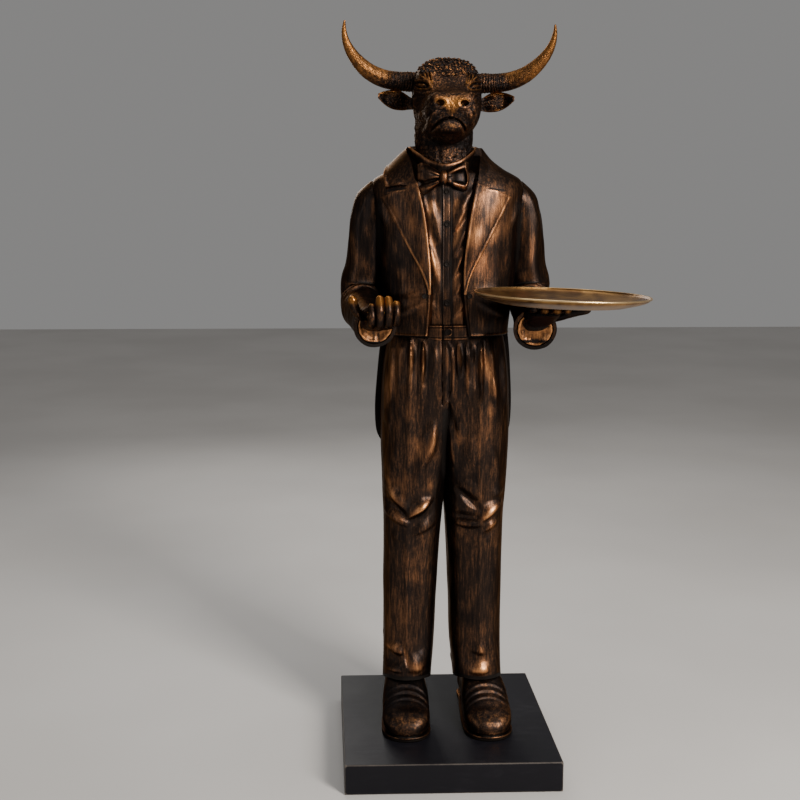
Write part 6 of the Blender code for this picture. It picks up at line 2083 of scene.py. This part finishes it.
        # Gilding on the lids, and a painted highlight on the ball of each eye.
        eye = 0.34 * bump(ring, 0.3, 0.35) + 0.52 * bump(ring, 1.5, 0.2)
        hairs = [trail(np.abs(x), z, path, 0.0015) for path, _, height in self.lines[1:9] if height > 0]
        brow = (0.46 * np.max(hairs, axis=0) + eye) * seen
        horns = 0.36 * fade(np.abs(x), 0.092, 0.145) * (z > 1.455)
        horns = horns * (0.45 + 0.55 * fade(z, 1.47, 1.5)) + 0.12 * fade(z, 1.52, 1.58)
        wear_and_light = WearAndPaintedLight(
            broad_rounds=10,
            fine_share=0.2,
            broad_share=0.35,
            fine_ridge=(90.0, 560.0),
            fine_groove=(-80.0, -760.0),
            broad_groove=(-30.0, -220.0),
        )
        # Painted shade also lies in the groove round each eye.
        painted_shade = collar + throat + under_curls + 0.6 * bump(ring, 1.02, 0.15) * seen
        wear_and_light.mark(head, painted_shade=painted_shade, gilt=nose + lip + horns + ears + brow)
        finish = AgedBronze(
            "bronze_head",
            brushed=0.46,
            strokes=(150.0, 150.0, 60.0),
            flecks=1.45,
            grain=0.0034,
            grains=250.0,
            rough=0.33,
        )
        dress(head, finish, "figure")
        curls = self.curls()
        curled = AgedBronze("bronze_curls", brushed=0.3, flecks=0.5, strokes=(200.0, 200.0, 200.0))
        dress(curls, curled, "figure")
        return [head, curls]


# The tray and the plinth


@dataclass
class Tray:
    """The round tray: a flat floor, a sloping side and a rolled rim, leaning a little to the side."""

    diameter: float = 0.362
    floor_diameter: float = 0.262
    depth: float = 0.0215
    wall: float = 0.0025
    rim: float = 0.004
    lean: float = math.radians(1.9)
    seat: Point3 = (0.207, -0.28, 1.0085)
    gap: float = 0.0003
    sides: int = 224

    def place(self, points: Array) -> Array:
        """Points of the tray's own frame, leant and set on the hand."""
        turn = np.array(Matrix.Rotation(self.lean, 3, "Y"))
        return lifted(points @ turn.T + self.seat)

    def profile(self) -> Array:
        """The tray's outline from the middle of its underside round the rim to the middle of its dish.

        The side follows a sine from the floor to the rim. The rim is a half circle on the outside,
        and turned rings stand round the middle of the dish and at the foot of its side.
        """
        floor, rim = self.floor_diameter / 2, self.diameter / 2
        share = np.linspace(0, 1, 22)
        slope = floor + (rim - self.rim - floor) * np.sin(share * math.pi / 2) ** 1.3
        height = (self.depth - self.rim) * share**1.15
        lip = np.linspace(-0.5, 0.72, 15) * math.pi
        lip_r = rim - self.rim / 2 + self.rim / 2 * np.cos(lip)
        lip_z = self.depth - self.rim / 2 + self.rim / 2 * np.sin(lip)
        base = np.column_stack([np.linspace(0.002, floor - 0.004, 24), np.zeros(24)])
        under = np.vstack([base, np.column_stack([slope, height]), np.column_stack([lip_r, lip_z])])
        over = np.column_stack([slope[::-1] - self.wall * 0.3, height[::-1] + self.wall])
        inner = np.linspace(floor - 0.004, 0.002, 60)
        rings = 0.0005 * (bump(inner, 0.12, 0.0012) + bump(inner, 0.04, 0.001) + bump(inner, 0.046, 0.001))
        dish = np.column_stack([inner, self.wall + rings])
        return np.vstack([under, over, dish]) + (0, self.gap)

    def hand_cut(self) -> Shell:
        """The space above the tray's underside, which the hand is cut back from."""
        floor, rim = self.floor_diameter / 2, self.diameter / 2
        outline = np.array([(0.01, 0.0), (floor, 0.0), (rim, self.depth), (0.01, self.depth)])
        shell = turned_solid(outline, 96)
        return Shell(self.place(shell.points), shell.quads, shell.triangles)

    def build(self) -> bpy.types.Object:
        """The tray as one turned piece."""
        shell = turned_solid(self.profile(), self.sides)
        radius = np.linalg.norm(shell.points[:, :2], axis=1)
        height = shell.points[:, 2]
        tray = as_object("serving_tray", Shell(self.place(shell.points), shell.quads, shell.triangles))
        tray.data.shade_smooth()
        tray.data.set_sharp_from_angle(angle=math.radians(55))
        rim = fade(radius, self.diameter / 2 - self.rim, self.diameter / 2 - 0.4 * self.rim)
        set_mark(tray.data, Mark.GILT, np.zeros(len(shell.points)))
        set_mark(tray.data, Mark.POLISH, rim * fade(height, self.depth - self.rim, self.depth))
        centre = tuple(float(v) for v in self.place(np.zeros((1, 3)))[0])
        dress(tray, AntiqueBrass("brass_tray", centre, self.diameter / 2), "tray")
        return tray


def dress_plinth() -> None:
    """Paints the plinth, whose solid is shown as it is."""
    low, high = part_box("plinth")
    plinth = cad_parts["plinth"]
    finish = BlackPaint("black_paint", tuple((high - low) / 2), tuple((high + low) / 2))
    paint(plinth, finish)


# The studio


@dataclass
class Studio:
    """A pale floor, soft lights and the camera at the photograph's angle."""

    camera_place: Point3 = (-0.2811, -2.612, 1.2875)
    pitch: float = math.pi / 2 - 0.1102
    yaw: float = -0.0316
    lens: float = 51.6
    shift: Point2 = (0.05, -0.09)

    def floor(self) -> None:
        """A wide pale floor, a little warm and uneven in tone."""
        grid = np.linspace(-9, 9, 19)
        x, y = np.meshgrid(grid, grid, indexing="ij")
        index = np.arange(19 * 19).reshape(19, 19)
        faces = np.stack([index[:-1, :-1], index[1:, :-1], index[1:, 1:], index[:-1, 1:]], axis=-1).reshape(-1, 4)
        mesh = bpy.data.meshes.new("floor")
        mesh.from_pydata(xyz(x, y, 0).reshape(-1, 3).tolist(), [], faces.tolist())
        floor = bpy.data.objects.new("floor", mesh)
        bpy.context.scene.collection.objects.link(floor)
        graph = Graph("floor")
        tone = graph.step(graph.noise((0.9, 0.9, 0.9), 3.0, 0.5), 0.3, 0.7)
        graph.feed(graph.shader.inputs["Base Color"], graph.mix(tone, (0.52, 0.5, 0.48), (0.58, 0.56, 0.54)))
        graph.shader.inputs["Roughness"].default_value = 0.7
        mesh.materials.append(graph.material)

    def light(self, name: str, place: Point3, aim: Point3, size: Point2, watts: float, tint: Colour) -> None:
        """A soft rectangular light that faces a point."""
        lamp = bpy.data.lights.new(name, "AREA")
        lamp.shape = "RECTANGLE"
        lamp.size, lamp.size_y = size
        lamp.energy = watts
        lamp.color = tint
        obj = bpy.data.objects.new(name, lamp)
        bpy.context.scene.collection.objects.link(obj)
        obj.location = place
        obj.rotation_euler = (Vector(aim) - Vector(place)).to_track_quat("-Z", "Y").to_euler()

    def camera(self) -> None:
        """The camera at the photograph's viewing angle."""
        data = bpy.data.cameras.new("camera")
        data.lens = self.lens
        data.sensor_width = 36.0
        data.shift_x, data.shift_y = self.shift
        camera = bpy.data.objects.new("camera", data)
        bpy.context.scene.collection.objects.link(camera)
        camera.location = self.camera_place
        camera.rotation_euler = (self.pitch, 0.0, self.yaw)
        bpy.context.scene.camera = camera

    def build(self) -> None:
        """Sets the whole studio up."""
        world = bpy.data.worlds.new("studio")
        world.use_nodes = True
        world.node_tree.nodes["Background"].inputs["Color"].default_value = (0.8, 0.79, 0.78, 1)
        world.node_tree.nodes["Background"].inputs["Strength"].default_value = 0.3
        bpy.context.scene.world = world
        self.floor()
        middle = (0.0, 0.0, 0.95)
        self.light("key", (1.7, -2.6, 2.3), middle, (0.9, 2.0), 190.0, (1.0, 0.95, 0.88))
        self.light("fill", (-2.4, -2.2, 1.5), middle, (1.0, 2.2), 9.0, (0.92, 0.96, 1.0))
        self.light("rim", (-0.6, 2.8, 2.2), middle, (1.2, 1.6), 30.0, (1.0, 0.97, 0.93))
        self.light("top", (0.2, 0.2, 3.4), middle, (1.8, 1.8), 26.0, (1.0, 1.0, 1.0))
        self.camera()


def corners(box: tuple[Vector, Vector]) -> list[list[float]]:
    """A box's lowest and highest corner as plain lists."""
    return [[float(v) for v in corner] for corner in box]


def main() -> None:
    """Builds and dresses every piece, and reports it."""
    logging.basicConfig(level=logging.INFO, format="%(message)s")
    trunk = Trunk()
    tray = Tray()
    pieces = [
        DressShirt(trunk).build(),
        Tailcoat(trunk).build(),
        Trousers().build(),
        Shoes().build(),
        Hands().build(tray.hand_cut()),
        *BullHead().build(),
        tray.build(),
    ]
    dress_plinth()
    Studio().build()
    for piece in pieces:
        piece.data.calc_loop_triangles()
        log.info("%s: %d triangles", piece.name, len(piece.data.loop_triangles))


if __name__ == "__main__":
    main()
